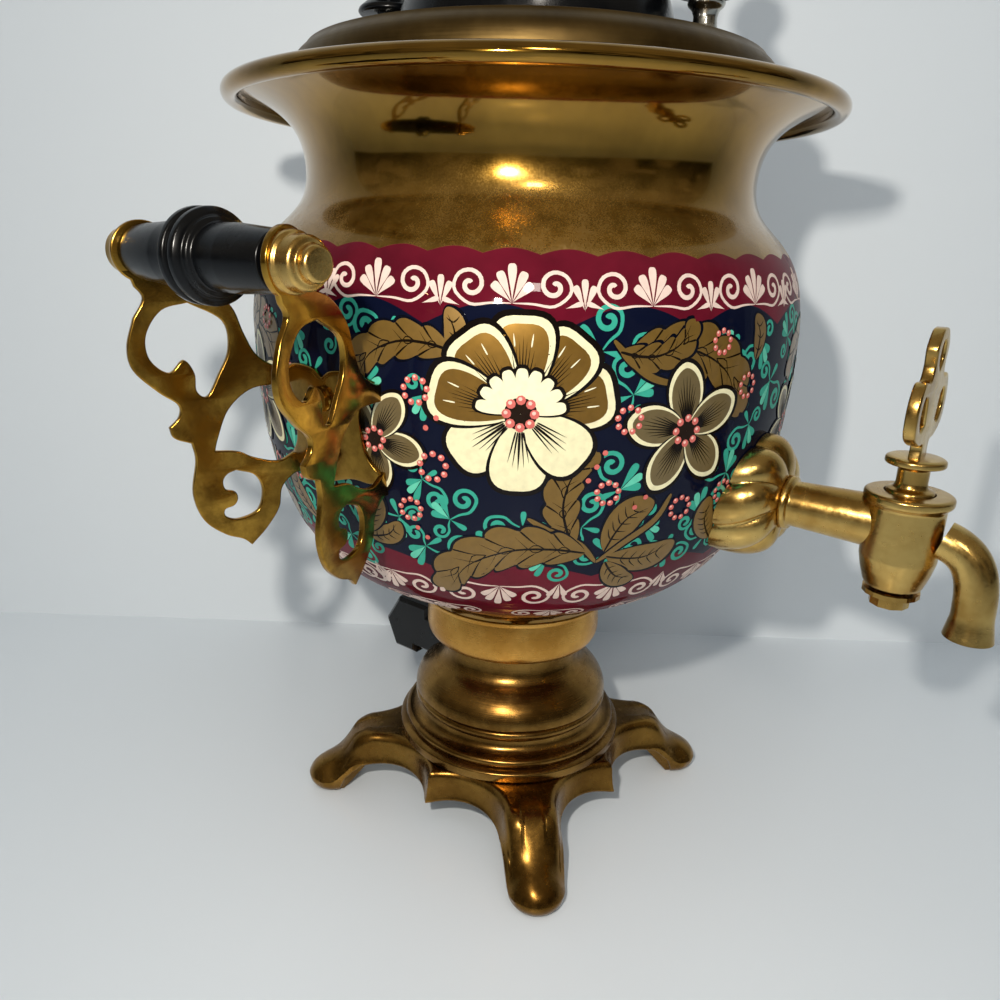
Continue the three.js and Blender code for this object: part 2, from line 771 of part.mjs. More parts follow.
function crownScrew() {
  const floorTop = crown.floorRise + crown.wall + fit;
  const foot = lid.height - crownFoot - lid.wall - screw.nutHeight - screw.tail;
  const shank = disc(screw.shankRadius, foot, floorTop + screw.headHeight, sides.tube);
  return shank.add(disc(screw.headRadius, floorTop, floorTop + screw.headHeight, sides.small));
}

// Handle bracket: points as shares of reach past the belly and of height below the eye's centre

const plateRuns = [
  [[0.975, 0.96], [0.8, 0.931], [0.613, 0.902], [0.45, 0.833], [0.375, 0.746], [0.287, 0.671], [0.125, 0.627], [-0.2, 0.617]],
  [[-0.2, 0.565], [0.175, 0.567], [0.362, 0.556], [0.525, 0.495], [0.615, 0.4], [0.64, 0.36]],
  [[0.64, 0.36], [0.475, 0.348], [0.35, 0.318], [0.175, 0.295], [0.05, 0.317], [-0.2, 0.39]],
  [[-0.2, 0.235], [0.037, 0.242], [0.15, 0.196], [0.182, 0.123], [0.287, 0.055], [0.415, 0]],
  [[0.415, 0], [0.48, 0.028], [0.613, 0.058], [0.757, 0.121], [0.82, 0.219], [0.782, 0.331], [0.8, 0.394]],
  [[0.8, 0.394], [0.915, 0.418], [0.942, 0.454]],
  [[0.942, 0.454], [0.87, 0.487], [0.87, 0.527], [0.988, 0.571], [1.135, 0.644], [1.16, 0.717], [1.105, 0.804]],
  [[1.105, 0.804], [1.033, 0.863], [1.1, 0.925], [1.075, 0.983]],
];
const upperHole = [
  [0.75, 0.848], [0.925, 0.826], [1.035, 0.752], [1.025, 0.677], [0.908, 0.632], [0.807, 0.67],
  [0.74, 0.625], [0.735, 0.567], [0.662, 0.547], [0.575, 0.614], [0.493, 0.694], [0.52, 0.787],
];
const lowerHole = [
  [0.5, 0.283], [0.362, 0.256], [0.307, 0.198], [0.35, 0.127],
  [0.5, 0.106], [0.607, 0.135], [0.515, 0.187], [0.61, 0.239],
];
const strapRun = [
  [[0, 0.912], [0.215, 0.982], [0.645, 0.994], [1.02, 0.938]],
  [[1.02, 0.938], [0.79, 0.776], [0.715, 0.453], [0.828, 0.276], [1.02, 0.159]],
  [[1.02, 0.159], [0.844, 0.065], [0.462, 0.071], [0, 0]],
];

const splay = radians(handle.splay);
const plateReach = eyeReach - plateRoot;
const eyeAcross = handle.plateStart + eyeReach * Math.sin(splay);
const eyeOut = eyeReach * Math.cos(splay);

// A plate's own frame: out along the plate, up, and through its thickness from a given depth
function onPlate(depth) {
  const place = [depth * Math.sin(splay), handle.plateStart + depth * Math.cos(splay), 0];
  return seat([-Math.cos(splay), Math.sin(splay), 0], [0, 0, 1], [Math.sin(splay), Math.cos(splay), 0], place);
}

function sidePlate() {
  const origin = [plateRoot, handle.eyeHeight - handle.plateDrop];
  const size = [plateReach, handle.plateDrop];
  const holes = [upperHole, lowerHole].map((list) => loop(list, origin, size));
  const web = slab(runs(plateRuns, origin, size), holes, handle.thickness, onPlate(-handle.thickness / 2));
  const eye = arc([eyeReach, handle.eyeHeight], handle.eyeRadius, 0, whole - whole / sides.turned, sides.turned - 1);
  return web.add(slab(eye, [], handle.thickness, onPlate(-handle.thickness / 2)));
}

// Two plates and the strap that hugs the body between them, one stamping
function bracket() {
  const origin = [0, handle.strapFoot];
  const size = [handle.strapHalfWidth, handle.strapHeight];
  const oneSide = runs(strapRun, origin, size);
  const otherSide = oneSide.slice(1).toReversed().map(([across, up]) => [-across, up]);
  const outline = [...oneSide, [0, handle.strapFoot], ...otherSide];
  const sheet = bodyMass(fit + handle.thickness).subtract(bodyMass(fit));
  const left = seat([0, -1, 0], [0, 0, 1], [-1, 0, 0], [0, 0, 0]);
  const strap = sheet.intersect(slab(outline, [], eyeReach, left));
  const plate = sidePlate().subtract(bodyMass(fit));
  const holes = strapScrews.map((height) =>
    disc(screw.shankRadius + fit, 0, body.bellyRadius + overrun * 2, sides.tube, onLeft(height)),
  );
  return cut(joined([strap, plate, mirrored(plate)]), [...holes, gripBar(rod.radius + fit, eyeAcross + overrun * 2)]);
}

// Things that lie across the handle, along the grip's axis
const onGrip = seat([1, 0, 0], [0, 0, -1], [0, 1, 0], [-eyeOut, 0, handle.eyeHeight]);
const gripBar = (radius, reach) => disc(radius, -reach, reach, sides.tube, onGrip);

// Everything beyond a plane parallel to a side plate, on its outer or inner side
function plateSide(from, to) {
  const large = eyeReach;
  const area = rectangle(large / 2, large * 2, 0, large * 2);
  return slab(area, [], Math.abs(to - from), onPlate(Math.min(from, to)));
}

// Turned grip: two rings side by side in the middle, tapering to the eyes
const gripShares = { waist: 0.45, ringStart: 0.35, ringEnd: 0.75 };

function gripTurned() {
  const end = eyeAcross + overrun;
  const side = [
    [grip.grooveRadius, 0],
    [grip.beadRadius, grip.beadHalfWidth * gripShares.ringStart],
    [grip.beadRadius, grip.beadHalfWidth * gripShares.ringEnd],
    [grip.rootRadius, grip.beadHalfWidth],
    [grip.rootRadius, eyeAcross * gripShares.waist],
    [grip.endRadius, end],
  ];
  const other = side.slice(1).toReversed().map(([radius, along]) => [radius, -along]);
  const turned = revolve([[grip.boreRadius, -end], ...other, ...side, [grip.boreRadius, end]], sides.turned, onGrip);
  const outer = plateSide(-handle.thickness / 2 - fit, overrun * 4);
  return cut(turned, [outer, mirrored(outer)]);
}

function gripRod() {
  return gripBar(rod.radius, eyeAcross + rod.past);
}

function gripFerrule() {
  const at = (along) => eyeAcross + along;
  const outside = [
    [ferrule.flangeRadius, at(0)],
    [ferrule.flangeRadius, at(ferrule.flangeEnd)],
    [ferrule.barrelRadius, at(ferrule.flangeEnd)],
    [ferrule.barrelRadius, at(ferrule.barrelEnd)],
    [ferrule.buttonRadius, at(ferrule.barrelEnd)],
    [ferrule.buttonRadius, at(ferrule.end)],
  ];
  const cap = revolve([[0, at(0)], ...outside, [0, at(ferrule.end)]], sides.small, onGrip);
  const bore = disc(rod.radius + fit, 0, at(ferrule.bore), sides.tube, onGrip);
  return cut(cap, [bore, plateSide(-overrun * 4, handle.thickness / 2 + fit)]);
}

// Screw through strap and body, its nut inside
function strapScrew(height) {
  const seatReach = radiusAt(bodyLine, height + screw.headRadius) + handle.thickness + 2 * fit;
  const nutReach = radiusAt(bodyInside, height - screw.nutRadius) - 2 * fit;
  const foot = nutReach - screw.nutHeight - screw.tail;
  const shank = disc(screw.shankRadius, foot, seatReach + screw.headHeight, sides.tube, onLeft(height));
  const head = disc(screw.headRadius, seatReach, seatReach + screw.headHeight, sides.small, onLeft(height));
  return shank.add(head);
}

function strapNut(height) {
  const outer = radiusAt(bodyInside, height - screw.nutRadius) - 2 * fit;
  const bore = screw.shankRadius + fit;
  return nut(bore, screw.nutRadius, outer - screw.nutHeight, outer, onLeft(height));
}

function handleSide(side, turn) {
  const ferruleSolid = gripFerrule();
  const ends = ["upper", "lower"];
  return group(
    0,
    turn,
    node(`bracket_${side}`, bracket(), agedBrass),
    node(`grip_${side}`, gripTurned(), blackPlastic),
    node(`grip_rod_${side}`, gripRod(), steel),
    node(`ferrule_${side}_a`, ferruleSolid, agedBrass),
    node(`ferrule_${side}_b`, mirrored(ferruleSolid), agedBrass),
    ...strapScrews.map((height, i) => node(`bracket_screw_${side}_${ends[i]}`, strapScrew(height), agedBrass)),
    ...strapScrews.map((height, i) => node(`bracket_nut_${side}_${ends[i]}`, strapNut(height), steel)),
  );
}

// Tap

// Lobed cast rosette: sections round its bore, hollowed behind to the body's curve
function rosette() {
  const count = tap.lobes * steps.lobe;
  const front = tapRoot + tap.rosetteDepth;
  const back = tapRoot - tap.rosetteSink;
  const bore = tap.tubeRadius + fit;
  const domeShares = [[0.42, 1], [0.62, 0.95], [0.8, 0.8], [0.93, 0.54], [1, 0.2]];
  const columns = Array.from({ length: count }, (_, i) => {
    const turn = (i / count) * 2 * Math.PI;
    const crest = Math.abs(Math.cos((turn * tap.lobes) / 2));
    const radius = tap.rosetteRadius - tap.lobeDepth * (1 - crest);
    const valley = tap.lobeDepth * (1 - crest);
    const point = (distance, along) => [distance * Math.cos(turn), distance * Math.sin(turn), along];
    const dome = domeShares.map(([out, up]) =>
      point(radius * out, tapRoot + tap.rosetteDepth * up - (up < 1 ? valley : 0)),
    );
    return [point(bore, front), ...dome, point(radius, back), point(bore, back)];
  });
  const casting = solidOf(geometryOf(loft(columns)).applyMatrix4(onTap));
  return casting.subtract(bodyMass(fit));
}

// The spout's line, from the barrel's middle out, over and down
function spoutLine() {
  const points = [
    [0, -barrelReach, 0],
    [0, -spoutReach, 0],
    [0, -spoutReach, -tap.spoutDrop / 3],
    [0, -spoutReach, -tap.spoutDrop],
  ];
  return new THREE.CubicBezierCurve3(...points.map((p) => new THREE.Vector3(...p)));
}

const onBarrel = (height = 0) => shift(0, -barrelReach, tap.height + height);
const onSpout = shift(0, -spoutReach, tap.height - tap.spoutDrop);

function plugTaper(gap, past) {
  const low = -tap.barrelDrop - past;
  const high = tap.barrelRise + past;
  return [[0, low], [key.plugFoot + gap, low], [key.plugTop + gap, high], [0, high]];
}

const barrelFootShare = 0.72;

function tapBody() {
  const tail = tapRoot - tap.tail;
  const shoulder = tapRoot + tap.rosetteDepth + fit;
  const shoulderEnd = shoulder + tap.shoulderWidth;
  const tube = revolve(
    [
      [0, tail],
      [tap.tubeRadius, tail],
      [tap.tubeRadius, shoulder],
      [tap.shoulderRadius, shoulder],
      [tap.shoulderRadius, shoulderEnd],
      [tap.tubeRadius, shoulderEnd],
      [tap.tubeEndRadius, barrelReach],
      [0, barrelReach],
    ],
    sides.turned,
    onTap,
  );
  const barrelFoot = tap.barrelRadius * barrelFootShare;
  const flangeFoot = tap.barrelRise - tap.flangeHeight;
  const barrel = revolve(
    [
      [0, -tap.barrelDrop],
      [barrelFoot, -tap.barrelDrop],
      [tap.barrelRadius, -tap.barrelRadius],
      [tap.barrelRadius, flangeFoot],
      [tap.flangeRadius, flangeFoot],
      [tap.flangeRadius, tap.barrelRise],
      [0, tap.barrelRise],
    ],
    sides.turned,
    onBarrel(),
  );
  const line = spoutLine();
  const raise = (solid) => solidOf(geometryOf(solid).applyMatrix4(shift(0, 0, tap.height)));
  const spout = raise(bar(line, tap.spoutRadius, sides.small, steps.bend));
  const lip = disc(tap.spoutLip, 0, tap.shoulderWidth, sides.small, onSpout);
  const bores = [
    disc(tap.bore, tail - overrun, barrelReach, sides.small, onTap),
    revolve(plugTaper(fit, overrun), sides.turned, onBarrel()),
    raise(bar(line, tap.bore, sides.tube, steps.bend)),
    disc(tap.bore, -overrun, overrun, sides.tube, onSpout),
  ];
  return cut(joined([tube, barrel, spout, lip]), bores);
}

// Rubber seat inside the body: round, flat inwards, its other face on the wall
const gasketInner = radiusAt(bodyInside, tap.height - tap.gasketRadius) - tap.gasketThickness;

function tapGasket() {
  const ringStock = washer(
    tap.tubeRadius + fit,
    tap.gasketRadius,
    gasketInner,
    tapRoot + overrun,
    sides.turned,
    onTap,
  );
  const inner = offset(bodyLine.slice(0, 1 + steps.lower), body.wall + fit);
  return ringStock.intersect(revolve([[0, 0], [inner[0][0], 0], ...inner.slice(1), [0, inner.at(-1)[1]]], sides.body));
}

function tapNut() {
  const top = gasketInner - fit;
  return nut(tap.tubeRadius + fit, tap.nutRadius, top - tap.nutHeight, top, onTap);
}

// Key: tapered plug with a cross port, collar, and a flat pierced handle
const keyRun = [
  [[-0.24, 0], [-0.24, 0.12], [-0.55, 0.14], [-0.95, 0.24], [-1, 0.46], [-0.8, 0.62], [-0.48, 0.62], [-0.36, 0.72], [-0.4, 0.86], [-0.2, 0.98], [0, 1]],
];
const keySideHole = [[-0.34, 0.29], [-0.6, 0.25], [-0.8, 0.37], [-0.7, 0.51], [-0.45, 0.48]];
const keyTopHole = [[0, 0.68], [0.16, 0.76], [0.14, 0.87], [0, 0.91], [-0.14, 0.87], [-0.16, 0.76]];

function tapKey() {
  const top = tap.barrelRise + key.neckHeight;
  const collarTop = top + key.collarHeight;
  const foot = -tap.barrelDrop - key.plugPast;
  const plug = revolve(
    [
      [0, foot],
      [key.plugFoot, foot],
      [key.plugTop, tap.barrelRise],
      [key.neckRadius, tap.barrelRise + key.collarHeight / 2],
      [key.neckRadius, top],
      [key.collarRadius, top],
      [key.collarRadius, collarTop],
      [0, collarTop],
    ],
    sides.turned,
  );
  const origin = [0, collarTop - fit];
  const size = [key.handleHalfWidth, key.handleHeight];
  const oneSide = runs(keyRun, origin, size);
  const otherSide = oneSide.toReversed().map(([across, up]) => [-across, up]);
  const crest = [0, collarTop - fit + key.handleHeight];
  const outline = [...oneSide, crest, ...otherSide];
  const sideHole = loop(keySideHole, origin, size);
  const holes = [sideHole, sideHole.map(([across, up]) => [-across, up]).toReversed(), loop(keyTopHole, origin, size)];
  const upright = seat([1, 0, 0], [0, 0, 1], [0, -1, 0], [0, key.handleThickness / 2, 0]);
  const flat = slab(outline, holes, key.handleThickness, upright);
  const across = seat([0, 1, 0], [0, 0, 1], [1, 0, 0], [0, 0, 0]);
  const port = disc(key.port, -key.plugTop * 2, key.plugTop * 2, sides.tube, across);
  const socket = disc(screw.shankRadius + fit, foot - overrun, foot + key.screwDepth, sides.tube);
  return cut(plug.add(flat), [port, socket]);
}

const keyFoot = -tap.barrelDrop - key.plugPast - fit;

function keyWasher() {
  return washer(screw.shankRadius + fit, key.washerRadius, keyFoot - key.washerHeight, keyFoot, sides.turned);
}

function keyScrew() {
  const top = keyFoot - key.washerHeight - fit;
  const shank = disc(screw.shankRadius, top - key.screwHeight, keyFoot + key.screwDepth - fit, sides.tube);
  return shank.add(disc(key.screwRadius, top - key.screwHeight, top, sides.small));
}

// Heater: one tube, legs down through the floor and a ring above it

function heaterTube() {
  const from = quarter + heater.gap;
  const to = quarter + whole - heater.gap;
  const ringPoints = arc([0, 0], heater.ringRadius, from, to, sides.small).map(([x, y]) => [x, y, heater.ringHeight]);
  const flangeFoot = body.wall + heater.gasketHeight + 2 * fit;
  const flangeTop = flangeFoot + heater.flangeHeight;
  const bend = (x) => [flangeTop - fit, flangeTop + heater.tubeRadius].map((height) => [x, heater.legY, height]);
  const line = through([...bend(-heater.legX), ...ringPoints, ...bend(heater.legX).toReversed()]);
  const legs = [-heater.legX, heater.legX].flatMap((x) => [
    disc(heater.tubeRadius, -heater.tail, flangeTop, sides.small, shift(x, heater.legY, 0)),
    disc(heater.flangeRadius, flangeFoot, flangeTop, sides.small, shift(x, heater.legY, 0)),
  ]);
  return joined([bar(line, heater.tubeRadius, sides.hexagon, steps.ring), ...legs]);
}

function heaterGasket(x) {
  const foot = body.wall + fit;
  const bore = heater.tubeRadius + fit;
  return washer(bore, heater.flangeRadius, foot, foot + heater.gasketHeight, sides.small, shift(x, heater.legY, 0));
}

function heaterNut(x) {
  const bore = heater.tubeRadius + fit;
  return nut(bore, heater.nutRadius, -fit - heater.nutHeight, -fit, shift(x, heater.legY, 0));
}

// Tie bolt: from the body's floor down through the stack to the bottom cover

const coverTop = base.plateHeight - base.plateThickness - fit;
const coverFoot = coverTop - cover.thickness;
const tieWasherFoot = coverFoot - fit - tie.washerHeight;
const tieNutFoot = tieWasherFoot - fit - tie.nutHeight;

function tieBolt() {
  const headFoot = bodyFoot + body.wall + tie.sealHeight + 2 * fit;
  const shank = disc(tie.radius, tieNutFoot - tie.tail, headFoot + tie.headHeight, sides.small);
  return shank.add(disc(tie.headRadius, headFoot, headFoot + tie.headHeight, sides.hexagon));
}

function tieSeal() {
  const foot = bodyFoot + body.wall + fit;
  return washer(tie.radius + fit, tie.headRadius, foot, foot + tie.sealHeight, sides.small);
}

const bottomCover = () => washer(tie.radius + fit, cover.radius, coverFoot, coverTop, sides.stack);
const tieWasher = () => washer(tie.radius + fit, tie.washerRadius, tieWasherFoot, tieWasherFoot + tie.washerHeight, sides.small);
const tieNut = () => nut(tie.radius + fit, tie.nutRadius, tieNutFoot, tieNutFoot + tie.nutHeight);

// Mains inlet: chamfered housing through a window in the pedestal; heights above its foot

function inletShell(gap) {
  const outline = [
    [inlet.root - overrun * (gap > 0 ? 1 : 0), inlet.floor - gap],
    [inlet.root - overrun * (gap > 0 ? 1 : 0), inlet.shoulder + gap],
    [inlet.collarClear - gap, inlet.shoulder + gap],
    [inlet.collarClear - gap, inlet.top + gap],
    [inlet.upperReach, inlet.top + gap],
    [inlet.nose + gap, inlet.crease],
    [inlet.lowerReach, inlet.bottom - gap],
    [inlet.floorStep, inlet.bottom - gap],
    [inlet.floorStep, inlet.floor - gap],
  ];
  const place = [-inlet.halfWidth - gap, 0, 0];
  const width = 2 * (inlet.halfWidth + gap);
  return slab(outline, [], width, seat([0, 1, 0], [0, 0, 1], [1, 0, 0], place), gap > 0 ? 0 : inlet.edge);
}

const onInlet = (x, drop = 0) => seat([1, 0, 0], [0, 0, -1], [0, 1, 0], [x, 0, inlet.crease - drop]);

function inletHousing() {
  const mouth = rectangle(-inlet.socketHalfWidth, inlet.socketHalfWidth, -inlet.socketHalfHeight, inlet.socketHalfHeight);
  const socket = slab(mouth, [], inlet.nose, onInlet(0).multiply(shift(0, 0, inlet.socketFloor)));
  const pinHoles = [-inlet.pinSpread, inlet.pinSpread].map((x) =>
    disc(inlet.pinRadius + fit, 0, inlet.nose, sides.tube, onInlet(x)),
  );
  return cut(inletShell(0), [socket, ...pinHoles, earthBlade(fit, overrun)]);
}

const inletPin = (x) => disc(inlet.pinRadius, inlet.pinRoot, inlet.pinTip, sides.tube, onInlet(x));

function earthBlade(gap, past) {
  const halfWidth = inlet.earthHalfWidth + gap;
  const halfThickness = inlet.earthThickness / 2 + gap;
  const outline = rectangle(-halfWidth, halfWidth, -halfThickness, halfThickness);
  const place = onInlet(0, inlet.earthDrop).multiply(shift(0, 0, inlet.pinRoot - past));
  return slab(outline, [], inlet.pinTip - inlet.pinRoot + 2 * past, place);
}

// Leads from the inlet up to the heater's legs and to the body's floor
function lead(x, drop, [topX, topY, top]) {
  const end = inlet.pinRoot - fit;
  const height = inlet.crease - drop;
  const points = [
    [x, end, height],
    [x, (end + topY) / 2, height],
    [(x + topX) / 2, topY - inlet.pinRadius, (height + top) / 2],
    [topX, topY, top - heater.tail / 2],
    [topX, topY, top],
  ];
  return bar(through(points), inlet.leadRadius, sides.hexagon, steps.bend);
}

const legFoot = bodyFoot - heater.tail - fit - pedestalFoot;
const floorUnder = bodyFoot - fit - pedestalFoot;

// The whole, centred over its own footprint: the tap's side reaches further than the brim
const spoutEnd = spoutReach + tap.spoutLip;
const brimEnd = body.rollCentre + body.rollRadius;
const samovar = group(
  0,
  0,
  node("base", baseCasting(), satinBrass),
  node("bottom_cover", bottomCover(), steel),
  node("tie_bolt", tieBolt(), steel),
  node("tie_seal", tieSeal(), rubber),
  node("tie_washer", tieWasher(), steel),
  node("tie_nut", tieNut(), steel),
  group(
    pedestalFoot,
    0,
    node("pedestal", pedestalShell(), satinBrass),
    node("inlet_housing", inletHousing(), blackPlastic),
    node("inlet_pin_live", inletPin(inlet.pinSpread), nickel),
    node("inlet_pin_neutral", inletPin(-inlet.pinSpread), nickel),
    node("earth_contact", earthBlade(0, 0), nickel),
    node("lead_live", lead(inlet.pinSpread, 0, [heater.legX, heater.legY, legFoot]), insulation),
    node("lead_neutral", lead(-inlet.pinSpread, 0, [-heater.legX, heater.legY, legFoot]), insulation),
    node("lead_earth", lead(0, inlet.earthDrop, [0, (heater.legY + pedestal.boreRadius) / 2, floorUnder]), insulation),
  ),
  group(collarFoot, 0, node("collar", collarRing(), satinBrass)),
  group(seatRingFoot, 0, node("seat_ring", seatRingTurned(), satinBrass)),
  group(
    bodyFoot,
    0,
    node("body", bodyShell(), polishedBrass),
    node("heater_tube", heaterTube(), nickel),
    node("heater_gasket_live", heaterGasket(heater.legX), rubber),
    node("heater_gasket_neutral", heaterGasket(-heater.legX), rubber),
    node("heater_nut_live", heaterNut(heater.legX), steel),
    node("heater_nut_neutral", heaterNut(-heater.legX), steel),
    handleSide("left", 0),
    handleSide("right", Math.PI),
    node("tap_rosette", rosette(), castBrass),
    node("tap_body", tapBody(), castBrass),
    node("tap_gasket", tapGasket(), rubber),
    node("tap_nut", tapNut(), steel),
  ),
);

const tapKeyGroup = group(
  bodyFoot + tap.height,
  0,
  node("tap_key", tapKey(), castBrass),
  node("key_washer", keyWasher(), castBrass),
  node("key_screw", keyScrew(), castBrass),
);
tapKeyGroup.position.y = -barrelReach;

const underCrown = lid.height - lid.wall - fit;
const underPost = postFoot - postSlope - lid.wall - fit;
const lidGroup = group(
  bodyFoot + lidFoot,
  0,
  node("lid", lidDrum(), satinBrass),
  ...postPlaces.map((place, i) => node(`lid_post_${i + 1}`, lidPost(place), nickel)),
  ...postPlaces.map((place, i) => node(`lid_knob_${i + 1}`, lidKnob(place), blackPlastic)),
  ...postPlaces.map((place, i) => node(`lid_nut_${i + 1}`, lidNut(place, underPost), steel)),
  node("crown_nut", lidNut([0, 0], underCrown), steel),
  group(crownFoot, 0, node("crown", crownRest(), blackPlastic), node("crown_screw", crownScrew(), steel)),
);

samovar.add(tapKeyGroup, lidGroup);
samovar.position.y = (spoutEnd - brimEnd) / 2;

export default samovar;
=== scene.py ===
# The looks of an electric samovar: brass body with a painted floral band, on a cast four-legged base.
# Sizes are in millimetres from the body's axis and the table; metres() turns them into the frame's.
import json
import math

import bmesh
import bpy
import numpy as np
from mathutils import Matrix, Vector


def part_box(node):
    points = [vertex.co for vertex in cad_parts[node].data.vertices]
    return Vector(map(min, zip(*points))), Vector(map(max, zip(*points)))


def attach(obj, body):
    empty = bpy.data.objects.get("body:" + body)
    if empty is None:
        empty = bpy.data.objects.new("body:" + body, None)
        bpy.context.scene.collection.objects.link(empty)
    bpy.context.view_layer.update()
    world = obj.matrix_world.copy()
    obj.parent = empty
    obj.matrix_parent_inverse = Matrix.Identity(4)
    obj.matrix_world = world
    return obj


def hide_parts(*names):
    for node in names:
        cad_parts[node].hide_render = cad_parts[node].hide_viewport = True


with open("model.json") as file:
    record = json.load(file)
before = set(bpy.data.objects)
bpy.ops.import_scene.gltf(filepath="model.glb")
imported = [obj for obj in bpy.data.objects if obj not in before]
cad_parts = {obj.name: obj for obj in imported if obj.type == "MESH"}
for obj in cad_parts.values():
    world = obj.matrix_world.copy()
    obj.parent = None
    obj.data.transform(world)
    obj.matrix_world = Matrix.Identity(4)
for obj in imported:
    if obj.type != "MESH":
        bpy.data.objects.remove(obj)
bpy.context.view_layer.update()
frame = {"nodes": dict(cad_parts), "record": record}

# Camera: close, a little above the belly, between the left handle and the tap.
# Its lens and place were worked out from the photograph's perspective.
axis = sum(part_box("seat_ring"), Vector()) / 2
lens_share = 0.8163
to_right = Vector((0.6091, -0.7924, 0.0314))
to_top = Vector((0.2278, 0.2127, 0.9502))
from_scene = Vector((-0.7596, -0.5717, 0.3101))
camera_data = bpy.data.cameras.new("camera")
camera_data.lens = lens_share * camera_data.sensor_width
camera = bpy.data.objects.new("camera", camera_data)
camera.matrix_world = Matrix((to_right, to_top, from_scene)).transposed().to_4x4()
camera.location = (-0.2476, -0.1778 + axis.y, 0.2236)
bpy.context.scene.collection.objects.link(camera)
bpy.context.scene.camera = camera

# Base: one brass casting, a double-scalloped plate on four legs with tongue-shaped feet.
# Cast, ground and brushed by hand to a satin gold, darker where the hand of the polisher missed it.
base = {
    "top": 26.8, "plate": 3.4, "cusp": 52.9, "cusp_height": 14.7, "arch": 1.8, "scallop": 22.4,
    "side_start": 60.0, "side_width": 11.6, "bend_start": 58.0, "bend_run": 17.0, "fullness": 2.6,
    "fall_run": 15.0, "reach": 84.5, "tip": 10.3, "foot": 5.0, "pad": 70.0, "inset": 3.6, "lip": 0.8,
    "skirt": 2.8, "shoulder": 5.4, "root": 58.0, "bore": 37.0,
}
leg_ridge = [
    [30, 26.8], [57, 26.8], [61.5, 26.4], [64.5, 24.9], [66.6, 21.9], [69.2, 18.0],
    [73.2, 14.4], [77.6, 11.9], [81.4, 9.4], [83.4, 7.2], [84.5, 5.0]]
scallop_steps, cusp_steps = 21, 15
slot_of = {}


def metres(points):
    """Millimetres from the body's axis and the table, as metres in the frame."""
    return points / 1000 + [axis.x, axis.y, 0]


def skin(name, grids, finish, body="samovar", ring=(True, True), crease=38.0, replaces=()):
    """One smooth mesh from grids of points; ring says whether each of a grid's two directions is closed."""
    corners, faces, first = [], [], 0
    for grid in grids if isinstance(grids, list) else [grids]:
        rows, columns = grid.shape[:2]
        index = first + np.arange(rows * columns).reshape(rows, columns)
        if ring[0]:
            index = np.vstack([index, index[:1]])
        if ring[1]:
            index = np.hstack([index, index[:, :1]])
        quads = np.stack([index[:-1, :-1], index[1:, :-1], index[1:, 1:], index[:-1, 1:]], 2)
        corners.append(grid.reshape(-1, 3))
        faces.append(quads.reshape(-1, 4))
        first += rows * columns
    mesh = bpy.data.meshes.new(name)
    mesh.from_pydata(metres(np.vstack(corners)), [], np.vstack(faces).tolist())
    return piece(name, mesh, finish, body, crease, replaces)


def piece(name, mesh, finish, body="samovar", crease=38.0, replaces=()):
    """Merges a mesh's doubles, points its faces outwards, gives it its finish and sets it on its body."""
    form = bmesh.new()
    form.from_mesh(mesh)
    bmesh.ops.remove_doubles(form, verts=form.verts, dist=1e-6)
    bmesh.ops.recalc_face_normals(form, faces=form.faces)
    form.to_mesh(mesh)
    form.free()
    mesh.shade_smooth()
    mesh.set_sharp_from_angle(angle=math.radians(crease))
    mesh.materials.append(finish)
    made = bpy.data.objects.new(name, mesh)
    bpy.context.scene.collection.objects.link(made)
    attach(made, body)
    if replaces:
        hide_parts(*replaces)
    return made


def colour(code, dim=1.0):
    """A screen colour written as six hex digits, turned to linear light and dimmed."""
    value = np.array([int(code[i:i + 2], 16) for i in (1, 3, 5)]) / 255
    return (*np.where(value <= 0.04045, value / 12.92, ((value + 0.055) / 1.055) ** 2.4) * dim, 1.0)


def wire(node, inputs):
    """Sets or links inputs, by name or in order; a node stands for its first output, a mix for its colour."""
    for key, value in inputs.items() if isinstance(inputs, dict) else enumerate(inputs):
        if isinstance(value, bpy.types.Node):
            value = value.outputs[2 if value.type == "MIX" else 0]
        if isinstance(value, bpy.types.NodeSocket):
            node.id_data.links.new(value, node.inputs[key])
        else:
            node.inputs[key].default_value = value


def add(tree, kind, inputs=(), stops=(), **settings):
    """Adds a node with its settings and its inputs; stops are a ramp's places and colours."""
    made = tree.nodes.new("ShaderNode" + kind)
    for key, value in settings.items():
        setattr(made, key, value)
    for i, (position, *shade) in enumerate(stops):
        made.color_ramp.elements[i].position = position
        made.color_ramp.elements[i].color = colour(*shade)
    wire(made, inputs)
    return made


def material(name, slot, **shader_inputs):
    """A new material for a slot of the record: it, its tree, its shader and the object's own coordinates."""
    made = bpy.data.materials.new(name)
    slot_of[made.name] = slot
    made.use_nodes = True
    shader = made.node_tree.nodes["Principled BSDF"]
    wire(shader, {key.replace("_", " "): value for key, value in shader_inputs.items()})
    return made, made.node_tree, shader, add(made.node_tree, "TexCoord").outputs["Object"]


